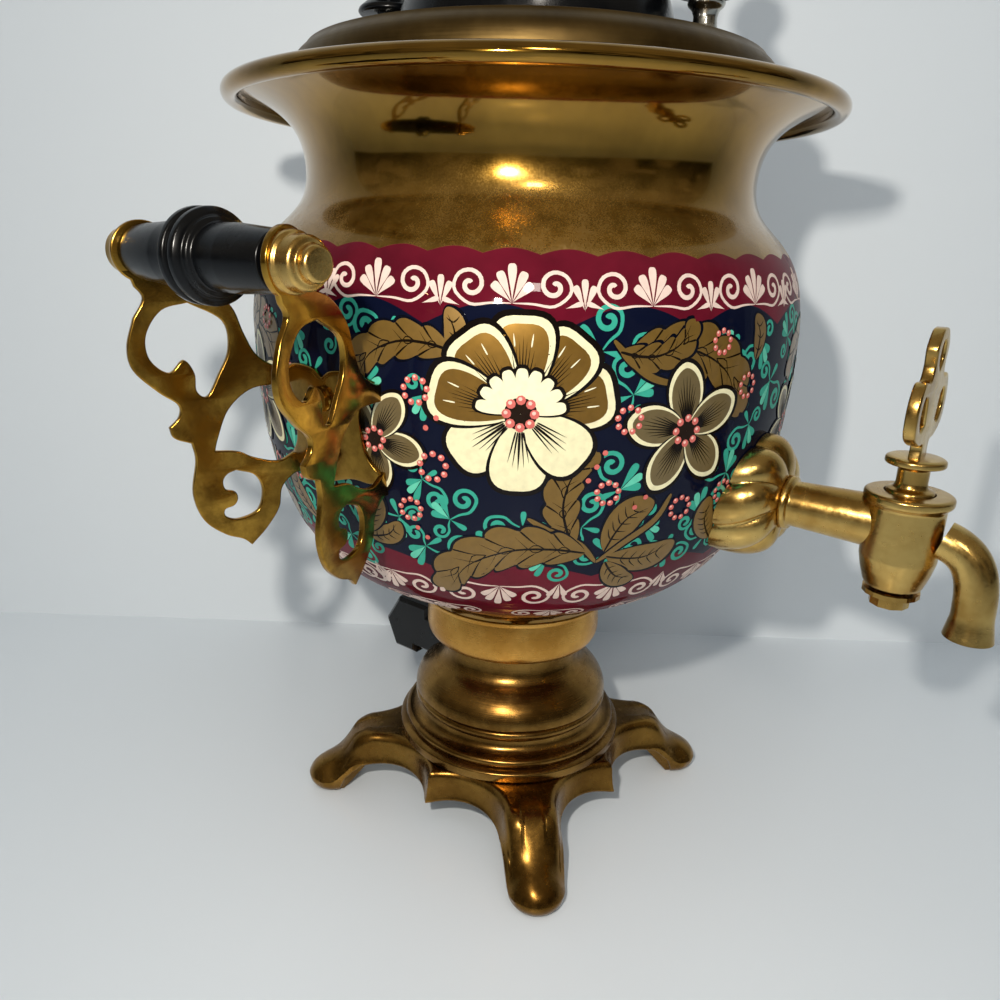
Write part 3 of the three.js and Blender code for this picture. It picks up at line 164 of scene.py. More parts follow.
def brass(
        name, light, dark, gloss, stretch=(1, 1, 1), line=900.0, depth=0.15, stain=0.5, dull=0.12,
        slot="satin_brass"):
    """Brass: clouds of 20 mm, and a polish broken by marks of 1 mm and by fine scratches along stretch."""
    made, tree, shader, place = material(name, slot, Metallic=1.0)
    clouds = add(tree, "TexNoise", {"Vector": place, "Scale": 48.0, "Detail": 4.0, "Roughness": 0.6})
    shade = add(tree, "ValToRGB", [clouds], [(0.5 - stain * 0.35, dark), (0.62, light)])
    run = add(tree, "Mapping", {"Vector": place, "Scale": stretch})
    marks = add(tree, "TexNoise", {"Vector": run, "Scale": line, "Detail": 3.0})
    spots = add(tree, "TexNoise", {"Vector": place, "Scale": 260.0, "Detail": 5.0, "Roughness": 0.7})
    both = add(tree, "Math", [marks, spots], operation="ADD")
    rough = add(tree, "MapRange", [both, 0.7, 1.35, gloss, gloss + dull])
    bump = add(tree, "Bump", {"Height": both, "Strength": depth, "Distance": 0.0002})
    wire(shader, {"Base Color": shade, "Roughness": rough, "Normal": bump})
    return made


def circle(a):
    """Points of the unit circle at these angles."""
    return np.stack([np.cos(a), np.sin(a)], -1)


def leg_edge(cusp_radius, centre, radius, side_end, end_centre, end_radius):
    """Half a leg's outline from above: an arc from the cusp at mid side, a straight side, and a round end."""
    cusp = np.full(2, cusp_radius * math.sqrt(0.5))
    start, stop = [np.arctan2(*(np.array(p) - centre)[::-1]) % (2 * math.pi) for p in (cusp, side_end)]
    turn = np.linspace(start, stop, scallop_steps + 1)
    scallop = np.array(centre) + radius * circle(turn)
    side = np.linspace(side_end, (end_centre, end_radius), 10)[1:-1]
    end = [end_centre, 0] + end_radius * circle(np.linspace(math.pi / 2, 0, 12))
    return np.vstack([cusp, scallop[1:], side, end])


def spline(points, count):
    """A smooth line through points: uniform Catmull-Rom, count steps for each run between two of them."""
    p = np.asarray(points, float)
    p = np.vstack([2 * p[0] - p[1], p, 2 * p[-1] - p[-2]])
    t = np.linspace(0, 1, count, endpoint=False)[None, :, None]
    a, b, c, d = p[:-3, None], p[1:-2, None], p[2:-1, None], p[3:, None]
    line = 2 * b + (c - a) * t + (2 * a - 5 * b + 4 * c - d) * t ** 2 + (3 * b - a - 3 * c + d) * t ** 3
    return np.vstack([0.5 * line.reshape(-1, p.shape[1]), p[-2:-1]])


def aside(line):
    """The unit direction to the right of a flat line at each of its points."""
    run = np.gradient(line, axis=0)
    return np.stack([run[:, 1], -run[:, 0]], 1) / np.linalg.norm(run, axis=1)[:, None]


low_edge = leg_edge(
    base["cusp"], (base["side_start"], base["side_width"] + base["scallop"]), base["scallop"],
    (base["side_start"], base["side_width"]), base["reach"] - base["tip"], base["tip"])
ridge = spline(leg_ridge, 6)
fall = np.clip((low_edge[:, 0] - base["side_start"]) / base["fall_run"], 0, 1)
fall = fall * fall * (3 - 2 * fall)
arch = np.sin(np.pi * np.clip(np.arange(len(low_edge)) / scallop_steps, 0, 1))
low_height = (1 - fall) * (base["cusp_height"] + base["arch"] * arch) + fall * base["foot"]
past_cusp = np.clip(np.arange(len(low_edge)) / cusp_steps, 0, 1)[:, None]


def inset(distance):
    """The leg's outline moved inwards, less so near the cusp, and mitred where two scallops meet."""
    moved = low_edge + aside(low_edge) * distance * (0.65 + 0.35 * past_cusp)
    return np.column_stack([moved[:, 0], np.minimum(moved[:, 1], moved[:, 0])])


def top_height(plan):
    """The ridge's height at this distance along, falling to the low edge as the leg turns to a tongue."""
    half, along_leg = (np.interp(plan[:, 0], *line.T) for line in (low_edge, ridge))
    bend = np.clip((plan[:, 0] - base["bend_start"]) / base["bend_run"], 0, 1)
    off = np.clip(plan[:, 1] / np.maximum(half, 1), 0, 1) ** base["fullness"]
    return along_leg - (along_leg - np.interp(plan[:, 0], low_edge[:, 0], low_height)) * bend * off


def to_bore(line):
    """The same line drawn in to the hole in the middle of the plate."""
    return line * (base["bore"] / np.linalg.norm(line, axis=1))[:, None]


# The section at each place of the outline: top, rounded edge, wall, lip, and back under the plate.
shoulder_line = inset(base["shoulder"])
bore = to_bore(shoulder_line)
plans = [bore + (shoulder_line - bore) * s for s in (0, 0.3, 0.55, 0.7, 0.8, 0.88, 0.94, 1)]
heights = [top_height(p) for p in plans]
for distance, drop in ((4.6, 0.05), (3.8, 0.25), (3.1, 0.65), (2.5, 1.25), (2.05, 2.1), (1.75, 3.1)):
    plans.append(inset(distance))
    heights.append(top_height(plans[-1]) - (1 - fall) * drop)
wall_top = heights[-1]
for distance, down in ((1.5, 0.3), (1.1, 0.6), (0.6, 0.83), (0.2, 0.95), (0, 1)):
    plans.append(inset(distance))
    heights.append((1 - fall) * (wall_top + (low_height - wall_top) * down) + fall * top_height(plans[-1]))
is_foot = low_edge[:, 0] >= base["pad"]
foot_centre = np.array([base["reach"] - base["tip"], 0])
for under, drop in ((0.12, 0.45), (0.4, 0.78), (0.72, 0.94), (1, 1)):
    sole = foot_centre + (low_edge - foot_centre) * (1 - base["inset"] / base["tip"] * under)
    plans.append(np.where(is_foot[:, None], sole, inset(base["lip"] * under)))
    heights.append(np.where(is_foot, low_height * (1 - drop), low_height - base["lip"] * drop))
pad_line = np.column_stack([np.full(len(sole), base["pad"]), sole[:, 1]])
plans.append(np.where(is_foot[:, None], pad_line, inset(base["skirt"])))
heights.append(heights[-1])
root = inset(base["skirt"] + 1.5)
root[:, 0] = np.minimum(root[:, 0], base["root"])
plans += [root, root, to_bore(root)]
underside = np.full(len(low_edge), base["top"] - base["plate"])
heights += [np.maximum(low_height, base["cusp_height"]) - base["lip"], underside, underside]
half_leg = np.stack([np.column_stack([p, z]) for p, z in zip(plans, heights)], 1)
leg = np.vstack([half_leg, half_leg[-2:0:-1] * [1, -1, 1]])
legs = []
for a in np.radians([-45, -135, -225, -315]):
    legs.append(leg @ np.array([[math.cos(a), math.sin(a), 0], [-math.sin(a), math.cos(a), 0], [0, 0, 1]]))
cast_satin = brass(
    "brass, cast and brushed satin", "#8f6c33", "#6b4c20", 0.2, line=500.0, depth=0.06, stain=0.35)
skin("base_casting", np.vstack(legs), cast_satin, replaces=["base"])

# Pedestal: spun from sheet brass on a lathe, with a foot ring, beads, a dome and a neck for the collar.
# Brushed on the lathe, so fine lines run round it.
pedestal = {"foot": 27.1, "height": 42.9, "radius": 45.8}
round_it = (0.02, 0.02, 1)


def bezier(a, b, c, d, count=24):
    """A cubic curve from a to d that leaves towards b and comes in from c."""
    a, b, c, d = (np.array(p, float) for p in (a, b, c, d))
    t = np.linspace(0, 1, count)[:, None]
    return (1 - t) ** 3 * a + 3 * t * (1 - t) ** 2 * b + 3 * t * t * (1 - t) * c + t ** 3 * d


def softened(points, radius, steps=5):
    """The same line with each corner replaced by a parabola that touches its two sides."""
    p = np.asarray(points, float)
    back, on = p[:-2] - p[1:-1], p[2:] - p[1:-1]
    back_length, on_length = (np.linalg.norm(v, axis=1, keepdims=True) for v in (back, on))
    reach = np.minimum(radius, 0.45 * np.minimum(back_length, on_length))
    a, b = p[1:-1] + back / back_length * reach, p[1:-1] + on / on_length * reach
    t = np.linspace(0, 1, steps)[None, :, None]
    bent = (1 - t) ** 2 * a[:, None] + 2 * t * (1 - t) * p[1:-1, None] + t * t * b[:, None]
    return np.vstack([p[:1], bent.reshape(-1, p.shape[1]), p[-1:]])


def roll(centre, radius, low, high, count=12):
    """An arc of a profile, from one angle to another, in degrees."""
    return np.array(centre) + radius * circle(np.radians(np.linspace(low, high, count)))


def lathe(name, profile, finish, replaces=(), sides=160, seat=np.eye(4), body="samovar", tube=True):
    """A profile of radius and height carried round Z, set at its seat; a tube's profile closes on itself."""
    a = np.linspace(0, 2 * math.pi, sides, endpoint=False)[:, None]
    radius, height = np.asarray(profile, float).T
    grid = np.dstack([radius * np.cos(a), radius * np.sin(a), height + 0 * a])
    return skin(name, grid @ seat[:3, :3].T + seat[:3, 3], finish, body, (True, tube), replaces=replaces)


def of_pedestal(*points):
    """Points given as shares of the pedestal's radius and height."""
    return np.array(points) * [pedestal["radius"], pedestal["height"]]


brushed_round = brass(
    "brass, spun and brushed on the lathe", "#94713a", "#6a4c22", 0.2, round_it, 2600.0, 0.08, 0.3)
outside = np.vstack([
    of_pedestal([0.6, 0], [1, 0], [1, 0.08], [0.966, 0.102]),
    roll(of_pedestal(0.914, 0.145), 0.037 * pedestal["radius"], -64, 64),
    bezier(*of_pedestal([0.914, 0.186], [0.835, 0.19], [0.815, 0.24], [0.812, 0.29])),
    roll(of_pedestal(0.82, 0.358), 0.041 * pedestal["radius"], -90, 90),
    bezier(*of_pedestal([0.86, 0.42], [0.858, 0.55], [0.765, 0.65], [0.675, 0.72])),
    bezier(*of_pedestal([0.675, 0.72], [0.612, 0.77], [0.585, 0.82], [0.585, 1]))[1:],
    of_pedestal([0.555, 1], [0.555, 0.87], [0.66, 0.72], [0.78, 0.56], [0.78, 0.3], [0.6, 0.05]),
])
lathe("pedestal_shell", softened(outside, 0.5, 4) + [0, pedestal["foot"]], brushed_round, ["pedestal"])

# Collar and seat ring: turned from solid brass; the collar is a barrel, the ring above it a fine double step.
# Turned bright and brushed, paler than the spun parts.
turned_bright = brass("brass, turned and brushed", "#d9a554", "#bb873c", 0.24, round_it, 3200.0, 0.12, 0.3)
collar = softened(np.vstack([
    [[25, 70.3], [32.6, 70.3]],
    bezier([33.3, 70.6], [35.2, 72.4], [35.3, 76], [33.6, 86.1]),
    [[33.2, 86.5], [25, 86.5]],
]), 0.4, 4)
seat_ring = softened([
    [25, 86.8], [36.4, 86.8], [36.4, 88.0], [37.2, 88.2], [38.2, 88.6], [38.2, 89.4], [37.6, 89.7],
    [25, 89.7]], 0.25, 4)
lathe("collar_barrel", collar, turned_bright, ["collar"])
lathe("seat_ring_steps", seat_ring, turned_bright, ["seat_ring"])

# Body: spun brass shell, polished to a mirror and lacquered, its brim rolled over a wire.
# The band is enamel under the same lacquer: wine red, a night-blue field, and a floral ornament on them.
body_foot, body_wall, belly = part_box("body")[0].z * 1000, 1.3, 95.0
body_curve = np.vstack([
    bezier([38.3, 0], [45.7, 19.3], [95, -1.5], [95, 102.5], 72),
    bezier([95, 102.5], [95, 139.6], [76, 132.3], [76, 150.5], 48)[1:],
    bezier([76, 150.5], [76, 164.1], [83.5, 170.2], [96, 173.6], 32)[1:],
])
below_neck = 72 + 48 - 1
body_out = aside(body_curve)
body_inside = body_curve - body_out * body_wall
body_inside = body_inside[body_inside[:, 1] > body_wall]
brim = roll([98.3, 172.6], 2.7, 158, -178, 22)
shell = np.vstack([[[0, 0]], body_curve, brim, body_inside[::-1], [[37.0, body_wall], [0, body_wall]]])
band = {"top": 220.4, "foot": 97.5, "navy_top": 204.0, "navy_foot": 128.0, "lobes": 38, "lobe_depth": 1.5}

polished, tree, shader, place = material(
    "brass, polished and lacquered, painted band", "polished_brass", Coat_Weight=0.35, Coat_Roughness=0.03)
apart = add(tree, "SeparateXYZ", [place]).outputs
height_mm = add(tree, "Math", [apart["Z"], 1000.0], operation="MULTIPLY")
from_axis = add(tree, "Math", [apart["Y"], axis.y], operation="SUBTRACT")
azimuth = add(tree, "Math", [from_axis, apart["X"]], operation="ARCTAN2")


def waves(count, depth, phase=0.0):
    """Scallops round the body: depth times the size of a sine, count lobes to the round."""
    angle = add(tree, "Math", [azimuth, count / 2, phase], operation="MULTIPLY_ADD")
    size = add(tree, "Math", [add(tree, "Math", [angle], operation="SINE")], operation="ABSOLUTE")
    return add(tree, "Math", [size, depth], operation="MULTIPLY")


def above(edge, scallops):
    """One above an edge raised by scallops and nought below it, with a tenth of a millimetre between."""
    over = add(tree, "Math", [height_mm, scallops], operation="SUBTRACT")
    return add(tree, "MapRange", [over, edge - 0.05, edge + 0.05])


# Above the band and below it the metal is bare. Smudges of 30 mm shade metal and wine red alike.
bare_above = above(band["top"] - band["lobe_depth"], waves(band["lobes"], band["lobe_depth"]))
wine_above = above(band["navy_top"] - 3.0, waves(16, 6.0, 0.4))
bare_foot = add(tree, "Math", [1.0, above(band["foot"], 0.0)], operation="SUBTRACT")
bare = add(tree, "Math", [bare_above, bare_foot], operation="MAXIMUM")
wine_below = above(band["navy_foot"], waves(12, 5.0, 0.9))
smudge = add(tree, "TexNoise", {"Vector": place, "Scale": 30.0, "Detail": 4.0, "Roughness": 0.6})
gold = add(tree, "ValToRGB", [smudge], [(0.3, "#84611e"), (0.65, "#ab8232")])
wine = add(tree, "ValToRGB", [smudge], [(0.3, "#4a0c1a"), (0.7, "#6b1527")])
night = add(tree, "Mix", {"Factor": wine_below, 6: wine, 7: colour("#0a0f23")}, data_type="RGBA")
field = add(tree, "Mix", {"Factor": wine_above, 6: night, 7: wine}, data_type="RGBA")
painted = add(tree, "Mix", {"Factor": bare, 6: field, 7: gold}, data_type="RGBA")

# Dust lies on the lower neck, just above the band, in drifts and fine specks.
drift = add(tree, "TexNoise", {"Vector": place, "Scale": 26.0, "Detail": 6.0, "Roughness": 0.7})
dust = add(tree, "TexNoise", {"Vector": place, "Scale": 2400.0, "Detail": 2.0, "Roughness": 0.6})
shoulder = add(tree, "MapRange", [height_mm, 245.0, 222.0])
near_paint = add(tree, "Math", [shoulder, add(tree, "MapRange", [drift, 0.34, 0.66])], operation="MULTIPLY")
on_metal = add(tree, "Math", [near_paint, bare_above], operation="MULTIPLY")
fine = add(tree, "MapRange", [dust, 0.42, 0.66, 0.28, 0.55])
specks = add(tree, "Math", [on_metal, fine], operation="MULTIPLY")
dusty = add(tree, "Mix", {"Factor": specks, 6: painted, 7: colour("#7d6f55")}, data_type="RGBA")
bare_metal = add(tree, "MapRange", {"Value": bare, "To Min": 0.05, "To Max": 1.0})
satin = add(tree, "MapRange", {"Value": bare, "To Min": 0.45, "To Max": 0.1})
ripple = add(tree, "TexNoise", {"Vector": place, "Scale": 16.0, "Detail": 2.0})
wire(shader, {
    "Base Color": dusty,
    "Metallic": add(tree, "Math", [bare_metal, specks], operation="SUBTRACT", use_clamp=True),
    "Roughness": add(tree, "Math", [satin, specks], operation="ADD", use_clamp=True),
    "Specular IOR Level": add(tree, "MapRange", {"Value": bare, "To Min": 0.0, "To Max": 0.5}),
    "Normal": add(tree, "Bump", {"Height": ripple, "Strength": 0.08, "Distance": 0.002}),
})
lathe("body_shell", shell + [0, body_foot], polished, ["body"], 256, tube=False)

# The ornament: brush strokes and petals of enamel, each a thin patch laid on the body's curve.
# The same drawing fills each quarter between handle and tap; every stroke is a closed skin of paint.
run_length = np.concatenate([[0], np.cumsum(np.linalg.norm(np.diff(body_curve, axis=0), axis=1))])
run_length -= np.interp(belly + 7.5, body_curve[:, 1], run_length)
quarters = [225.0, 315.0, 45.0, 135.0]
layers = {}
paint_thickness, over_step = 0.03, 0.012


def on_body(flat, quarter, lift):
    """Lays a drawing on the body: across becomes azimuth at the local radius, up the way along it."""
    radius, height = (np.interp(flat[..., 1], run_length, body_curve[:, k]) for k in (0, 1))
    out_radius, out_height = (np.interp(flat[..., 1], run_length, body_out[:, k]) for k in (0, 1))
    angle = math.radians(quarter) + flat[..., 0] / (0.35 * belly + 0.65 * radius)
    radius, height = radius + out_radius * lift, body_foot + height + out_height * lift
    return np.stack([radius * np.cos(angle), radius * np.sin(angle), height], -1)


def coat(flat, quarter, lift):
    """A drawing on the body as a closed skin, thinned to nothing at a stroke's ends and a dot's middle."""
    top, under = on_body(flat, quarter, lift), on_body(flat, quarter, lift - paint_thickness)
    under[[0, -1]] = top[[0, -1]]
    if np.allclose(flat[:, 0], flat[:, -1]):
        under[0] = on_body(flat[:1], quarter, lift - paint_thickness)
        return np.vstack([top, under[::-1]])
    return np.hstack([top, under[:, ::-1], top[:, :1]])


def paint(layer, drawing, at=(0, 0), turn=0.0, size=1.0, over=0):
    """Adds a drawing to a layer, turned, sized and moved to its place; over lays it on earlier ones."""
    a = math.radians(turn)
    moved = drawing * size @ np.array([[math.cos(a), math.sin(a)], [-math.sin(a), math.cos(a)]]) + at
    layers.setdefault(layer, []).append((moved, over * over_step))


def stroke(path, width, swell=(0.5, 0.5), steps=7, across=3):
    """A band along a smooth path, its half width (share from start)^a times (share from end)^b."""
    line = spline(path, steps)
    t = 0.5 - 0.5 * np.cos(np.linspace(0.09, math.pi - 0.09, len(line)))
    line = np.stack([np.interp(t * (len(line) - 1), np.arange(len(line)), line[:, k]) for k in (0, 1)], 1)
    shape = t ** swell[0] * (1 - t) ** swell[1]
    half = aside(line) * (shape / shape.max() * width / 2)[:, None]
    return line[:, None] + half[:, None] * np.linspace(1, -1, across)[None, :, None]


def petal(length, width, swell=(0.9, 0.35), across=5):
    """A petal standing on its foot at the origin."""
    return stroke([[0, 0], [0, length * 0.34], [0, length * 0.67], [0, length]], width, swell, 6, across)


def scroll(reach, rise, size, width=1.1, turns=1.5, hand=1):
    """A stem that runs out from its foot at the origin and rolls up into a spiral of shrinking radius."""
    s = np.linspace(0, 1, 13)
    a = 2 * math.pi * turns * s ** 0.85 - math.pi / 2
    coil = (size * (1 - s) ** 1.1 + 0.35 * width)[:, None] * circle(a) + [reach, rise]
    path = np.vstack([[0, 0], [0.5 * reach, 0.6 * (rise - size)], coil])
    return stroke(path * [hand, 1], width, (0.4, 0.12), 4, 2)


def dot(radius, sides=9):
    """A round dab of paint: rings of points about its middle."""
    return np.array([0.02, 0.6, 1.0])[:, None, None] * radius * circle(np.linspace(0, 2 * math.pi, sides + 1))


def around(layer, drawing, centre, count, radius=0.0, first=0.0, size=1.0, spread=360.0):
    """The same drawing repeated about a centre, each one turned to point outwards."""
    for i in range(count):
        turn = first + spread * i / count
        out = radius * np.array([-math.sin(math.radians(turn)), math.cos(math.radians(turn))])
        paint(layer, drawing, np.add(centre, out), turn, size)


def petals(centre, count, first, spread, size, *coats):
    """Petals about a centre, each with its coats of paint, one inside the other, over the petal before."""
    for i in range(count):
        for j, (layer, length, width, swell) in enumerate(coats):
            paint(layer, petal(length, width, swell, 9), centre, first + spread * i / count, size, 3 * i + j)


def berries(centre, count=9, radius=4.0, dab=0.95):
    """A ring of berries, each with a paler dab on it: a painted highlight, set a little off the berry's
    middle.
    """
    around("coral", dot(dab), centre, count, radius)
    # The paler dabs are a painted highlight on each berry.
    around("berry_highlight", dot(dab * 0.42, 7), np.add(centre, (-0.2, 0.3)), count, radius)


def fan(centre, turn, size=1.0, drops=5):
    """Pale drops spread from one point, the middle one the longest."""
    for i in range(drops):
        off = i - (drops - 1) / 2
        paint("pink", petal(8.8 - 1.3 * abs(off), 2.0, (1.6, 0.3), 2), centre, turn + off * 23, size)


def lay_leaf(at, turn, rim, blade, veins=()):
    """Paints a leaf's dark rim, its blade and its veins, over the leaf before, in a stack four deep."""
    order = 3 * (len(layers.get("bronze", [])) % 4)
    paint("shade", rim, at, turn, over=order)
    paint("bronze", blade, at, turn, over=order + 1)
    for vein in veins:
        paint("leaf_vein", vein, at, turn, over=order + 2)


def leaf(at, turn, length, width, bend, veins):
    """A pointed leaf with a bent middle line, its dark rim and its veins."""
    rib = np.array([[0, 0], [bend * 0.6, 0.33], [bend * 0.8, 0.67], [0, 1]]) * length
    lines = [stroke(rib * 0.88, 0.7, (0.2, 0.8))]
    for up in np.linspace(0.2, 0.72, veins):
        foot = np.array([bend * length * math.sin(math.pi * up) * 0.88, length * up])
        for out in (-width, width):
            way = [foot, foot + (out * 0.14, length * 0.035), foot + (out * 0.3, length * 0.1)]
            lines.append(stroke(way, 0.42, (0.2, 0.7), 3))
    rim, blade = (stroke(rib * size, width + more, (0.75, 0.6), 8, 9) for size, more in ((1.04, 1.5), (1, 0)))
    lay_leaf(at, turn, rim, blade, lines)


def lobed(rib, width, lobes, rim=0.0):
    """A leaf blade as a patch: its half width scalloped by |sine|, its edges swept forward along the rib."""
    line = spline(rib, 16)
    t = np.linspace(0, 1, len(line))[:, None]
    side = -aside(line)
    scallop = 0.7 + 0.3 * np.abs(np.sin(math.pi * lobes * t)) ** 0.7
    half = width / 2 * (t + 0.02) ** 0.4 * (1.01 - t) ** 0.5 * scallop + rim
    across = np.linspace(-1, 1, 11)[None, :, None]
    along = side[:, ::-1] * [1, -1]
    forward = 0.75 * along[:, None] * np.abs(across) ** 1.5
    return line[:, None] + half[:, None] * (side[:, None] * across + forward)


def acanthus(at, turn, length, width, hand, lobes):
    """A lobed leaf on a bent rib: veins run in from each notch, and out from the rib between the notches."""
    rib = np.array([[0, 0], [0.03, 0.3], [0.14, 0.62], [0.4, 0.9], [0.74, 0.98]]) * [hand * length, length]
    blade = lobed(rib, width, lobes)
    lines = [stroke(rib * 0.94, 0.8, (0.2, 0.9))]
    for i in range(1, lobes):
        k = int(i / lobes * (len(blade) - 1))
        for notch in (blade[k, 0], blade[k, -1]):
            inner = blade[k - 3, 5]
            middle = 0.5 * (notch + inner) + 0.1 * (blade[k, 5] - inner)
            lines.append(stroke([notch, middle, 0.8 * inner + 0.2 * notch], 0.55, (0.12, 0.8), 4))
        for beside, edge in ((6, 2), (4, -3)):
            lines.append(stroke([blade[k - 4, 5], blade[k, beside], blade[k + 4, edge]], 0.4, (0.2, 0.9), 4))
    lay_leaf(at, turn, lobed(rib, width, lobes, 0.75), blade, lines)


def sprig(at, turn, size, hand):
    """Sea-green scroll to one side, a smaller one to the other, and drops between them."""
    paint("teal", scroll(6.4, 3.6, 3.3, 1.4, 1.5, hand), at, turn, size)
    paint("teal", scroll(3.9, 2.6, 2.0, 1.2, 1.25, -hand), at, turn + hand * 60, size)
    for layer, lean, length in (("teal", -8, 7.8), ("teal_light", 18, 6.8), ("teal", 44, 5.6)):
        paint(layer, petal(length, 2.1, (1.5, 0.4), 2), at, turn + hand * lean, size)
    paint("teal", petal(5.4, 1.6, (1.5, 0.4), 2), at, turn - hand * 150, size)


def blossom(centre, turn, size):
    """Five bronze petals, dark at the heart, with a pale rim, round a ring of berries."""
    swell = (0.8, 0.6)
    coats = ("rim", 20.9, 13.4, swell), ("cream", 19.6, 11.7, swell), ("bronze_dark", 18.0, 9.8, swell)
    petals(centre, 5, turn, 360, size, *coats)
    for slant, length in zip(range(-20, 21, 5), (7, 9.5, 10.5, 12.5, 13, 12.5, 10.5, 9.5, 7)):
        around("vein", petal(length, 0.45, (0.15, 1.1), 3), centre, 5, 3.0, turn + slant * 0.9, size)
    paint("vein_top", dot(3.4, 14), centre, 0, size)
    berries(centre, 8, 3.7 * size, 1.15 * size)


# Great bloom between handle and tap: bronze petals above, pale ones below, drops and berries at its heart.
# Two smaller blossoms stand at its sides.
bloom = np.array([-15.5, -13.5])
petals(bloom, 3, 128, 156, 1.0, ("rim", 23.4, 17.4, (0.8, 0.36)), ("cream", 22.0, 15.4, (0.8, 0.34)))
around("vein", petal(11.0, 0.7, (0.2, 0.9), 3), bloom, 3, 5.0, 128, spread=156)
for slant, length in ((-12, 9), (-6, 10), (6, 10), (12, 9)):
    around("vein", petal(length, 0.45, (0.2, 0.9), 3), bloom, 3, 5.0, 128 + slant, spread=156)
petals(
    bloom, 5, -76, 190, 1.0,
    ("rim", 26.8, 18.6, (0.8, 0.3)), ("cream", 25.2, 16.4, (0.8, 0.28)),
    ("bronze_bright", 23.2, 13.2, (0.85, 0.28)))
for slant, length in zip((-14, -10, -6, -3, 0, 3, 6, 10, 14), (9, 12, 13, 14, 15.5, 14, 13, 12, 9)):
    around("vein", petal(length, 0.5, (0.15, 1.1), 3), bloom, 5, 5.0, -76 + slant, spread=190)
for slant in (-7, 7):
    around("cream_top", petal(3.4, 0.4, (0.3, 0.6), 3), bloom, 5, 17.5, -76 + slant, spread=190)
around("vein", petal(13.0, 4.4, (0.9, 0.32), 3), bloom, 9, first=-80, spread=180)
around("cream_top", petal(12.0, 3.3, (1.0, 0.3), 3), bloom, 9, first=-80, spread=180)
paint("vein_top", dot(4.4, 16), bloom)
berries(bloom, 8, 3.7, 1.3)
blossom((32.5, -19.0), 8.0, 0.98)
blossom((-57.0, -24.0), 40.0, 0.8)

# Lobed and pointed leaves and stems: below the great bloom, at the upper right, and beside the handle.
for path in (
        [[10, -60], [4, -53], [-4, -49], [-12, -44]], [[10, -60], [18, -53], [27, -46], [31, -38]],
        [[8, 6], [14, 0], [20, -4], [28, -6]]):
    lay_leaf((0, 0), 0.0, stroke(path, 3.4, (0.3, 0.3)), stroke(path, 2.0, (0.3, 0.3)))
for at, *measures in (
        ((6, -56), 76, 38, 29, -1, 6), ((2, -53), 30, 24, 20, 1, 5), ((12, 2), -76, 37, 27, 1, 6),
        ((10, 3), -108, 19, 15, -1, 5), ((-34, 2), 72, 26, 20, -1, 5)):
    acanthus(at, *measures)
for at, *measures in (
        ((12, -56), -40, 21, 10.5, -0.2, 5), ((13, -58), -84, 24, 10.5, 0.18, 5),
        ((13, -60), -128, 15, 8, 0.2, 4), ((-34, -1), 6, 14, 6, 0.15, 3), ((-32, -1), -36, 12, 5.5, -0.15, 3),
        ((54, -58), 22, 18, 8.5, -0.2, 5), ((57, -58), -26, 15, 7.5, 0.2, 4),
        ((-64, -56), -14, 17, 8, 0.2, 5), ((-62, -57), -58, 14, 7, 0.2, 4), ((58, -1), 6, 13, 6, 0.2, 3)):
    leaf(at, *measures)


def is_clear(x, y, margin=0.0):
    """Whether a place lies outside the great bloom and the blossoms."""
    blooms = ((-15.5, -13.5, 27.0), (32.5, -19.0, 18.5), (-57.0, -24.0, 15.0))
    return all(math.hypot(x - across, y - up) > radius + margin for across, up, radius in blooms)


# Sea-green scrolls and rings of berries fill the night-blue field around the blooms.
spread = np.random.default_rng(7)
for row, up in enumerate((3.0, -9.0, -21.5, -34.0, -46.5, -58.0)):
    for column in range(8):
        x = -70.0 + 18.7 * (column + 0.5 * (row % 2)) + spread.uniform(-1.6, 1.6)
        y = up + spread.uniform(-1.5, 1.5)
        turn, hand = spread.uniform(-50, 50) + 180 * (column % 2), 1 - 2 * (row % 2)
        if is_clear(x, y, -1.0):
            sprig((x, y), turn, spread.uniform(0.95, 1.15), hand)
for x, y, radius, dab in (
        (-44, -9, 3.4, 0.9), (-39, -30, 3.8, 0.95), (-46, -44, 3.2, 0.9), (14, -15, 3.4, 0.9),
        (10, -36, 3.2, 0.9), (35, -43, 3.4, 0.9), (55, -8, 3.2, 0.85), (-74, -36, 3.2, 0.85),
        (52, -40, 3.2, 0.85), (42, 5, 3.0, 0.85)):
    if is_clear(x, y):
        berries((x, y), 9, radius, dab)
for at in (
        (6, -28), (4, -32), (8, -24), (-44, -50), (-41, -53), (22, -38), (19, -41), (-38, -16), (-41, -19)):
    paint("coral", dot(0.8), at)

# Borders: pale scrolls and fans of drops on the wine red, above and below.
for x in (-56.0, -18.65, 18.65, 56.0):
    between = x + 18.65
    fan((x, 14.6), 0, 1.15)
    fan((between, 13.2), 0, 0.9, 3)
    fan((x, -70.6), 180, 1.2)
    fan((between, -68.6), 180, 0.95, 3)
    fan((between, -86.5), 180, 1.1)
    for hand in (-1, 1):
        paint("pink", scroll(10.8, 4.4, 4.5, 1.25, 1.6, hand), (x, 14.6))
        paint("pink", petal(5.0, 1.3, (1.5, 0.4), 3), (x + hand * 13.5, 13.6), -hand * 72)
        paint("pink", scroll(11.4, 5.0, 5.0, 1.4, 1.6, hand), (x, -70.6), 180)
        paint("pink", scroll(9.4, 3.8, 3.6, 1.2, 1.5, hand), (between, -86.5), 180)

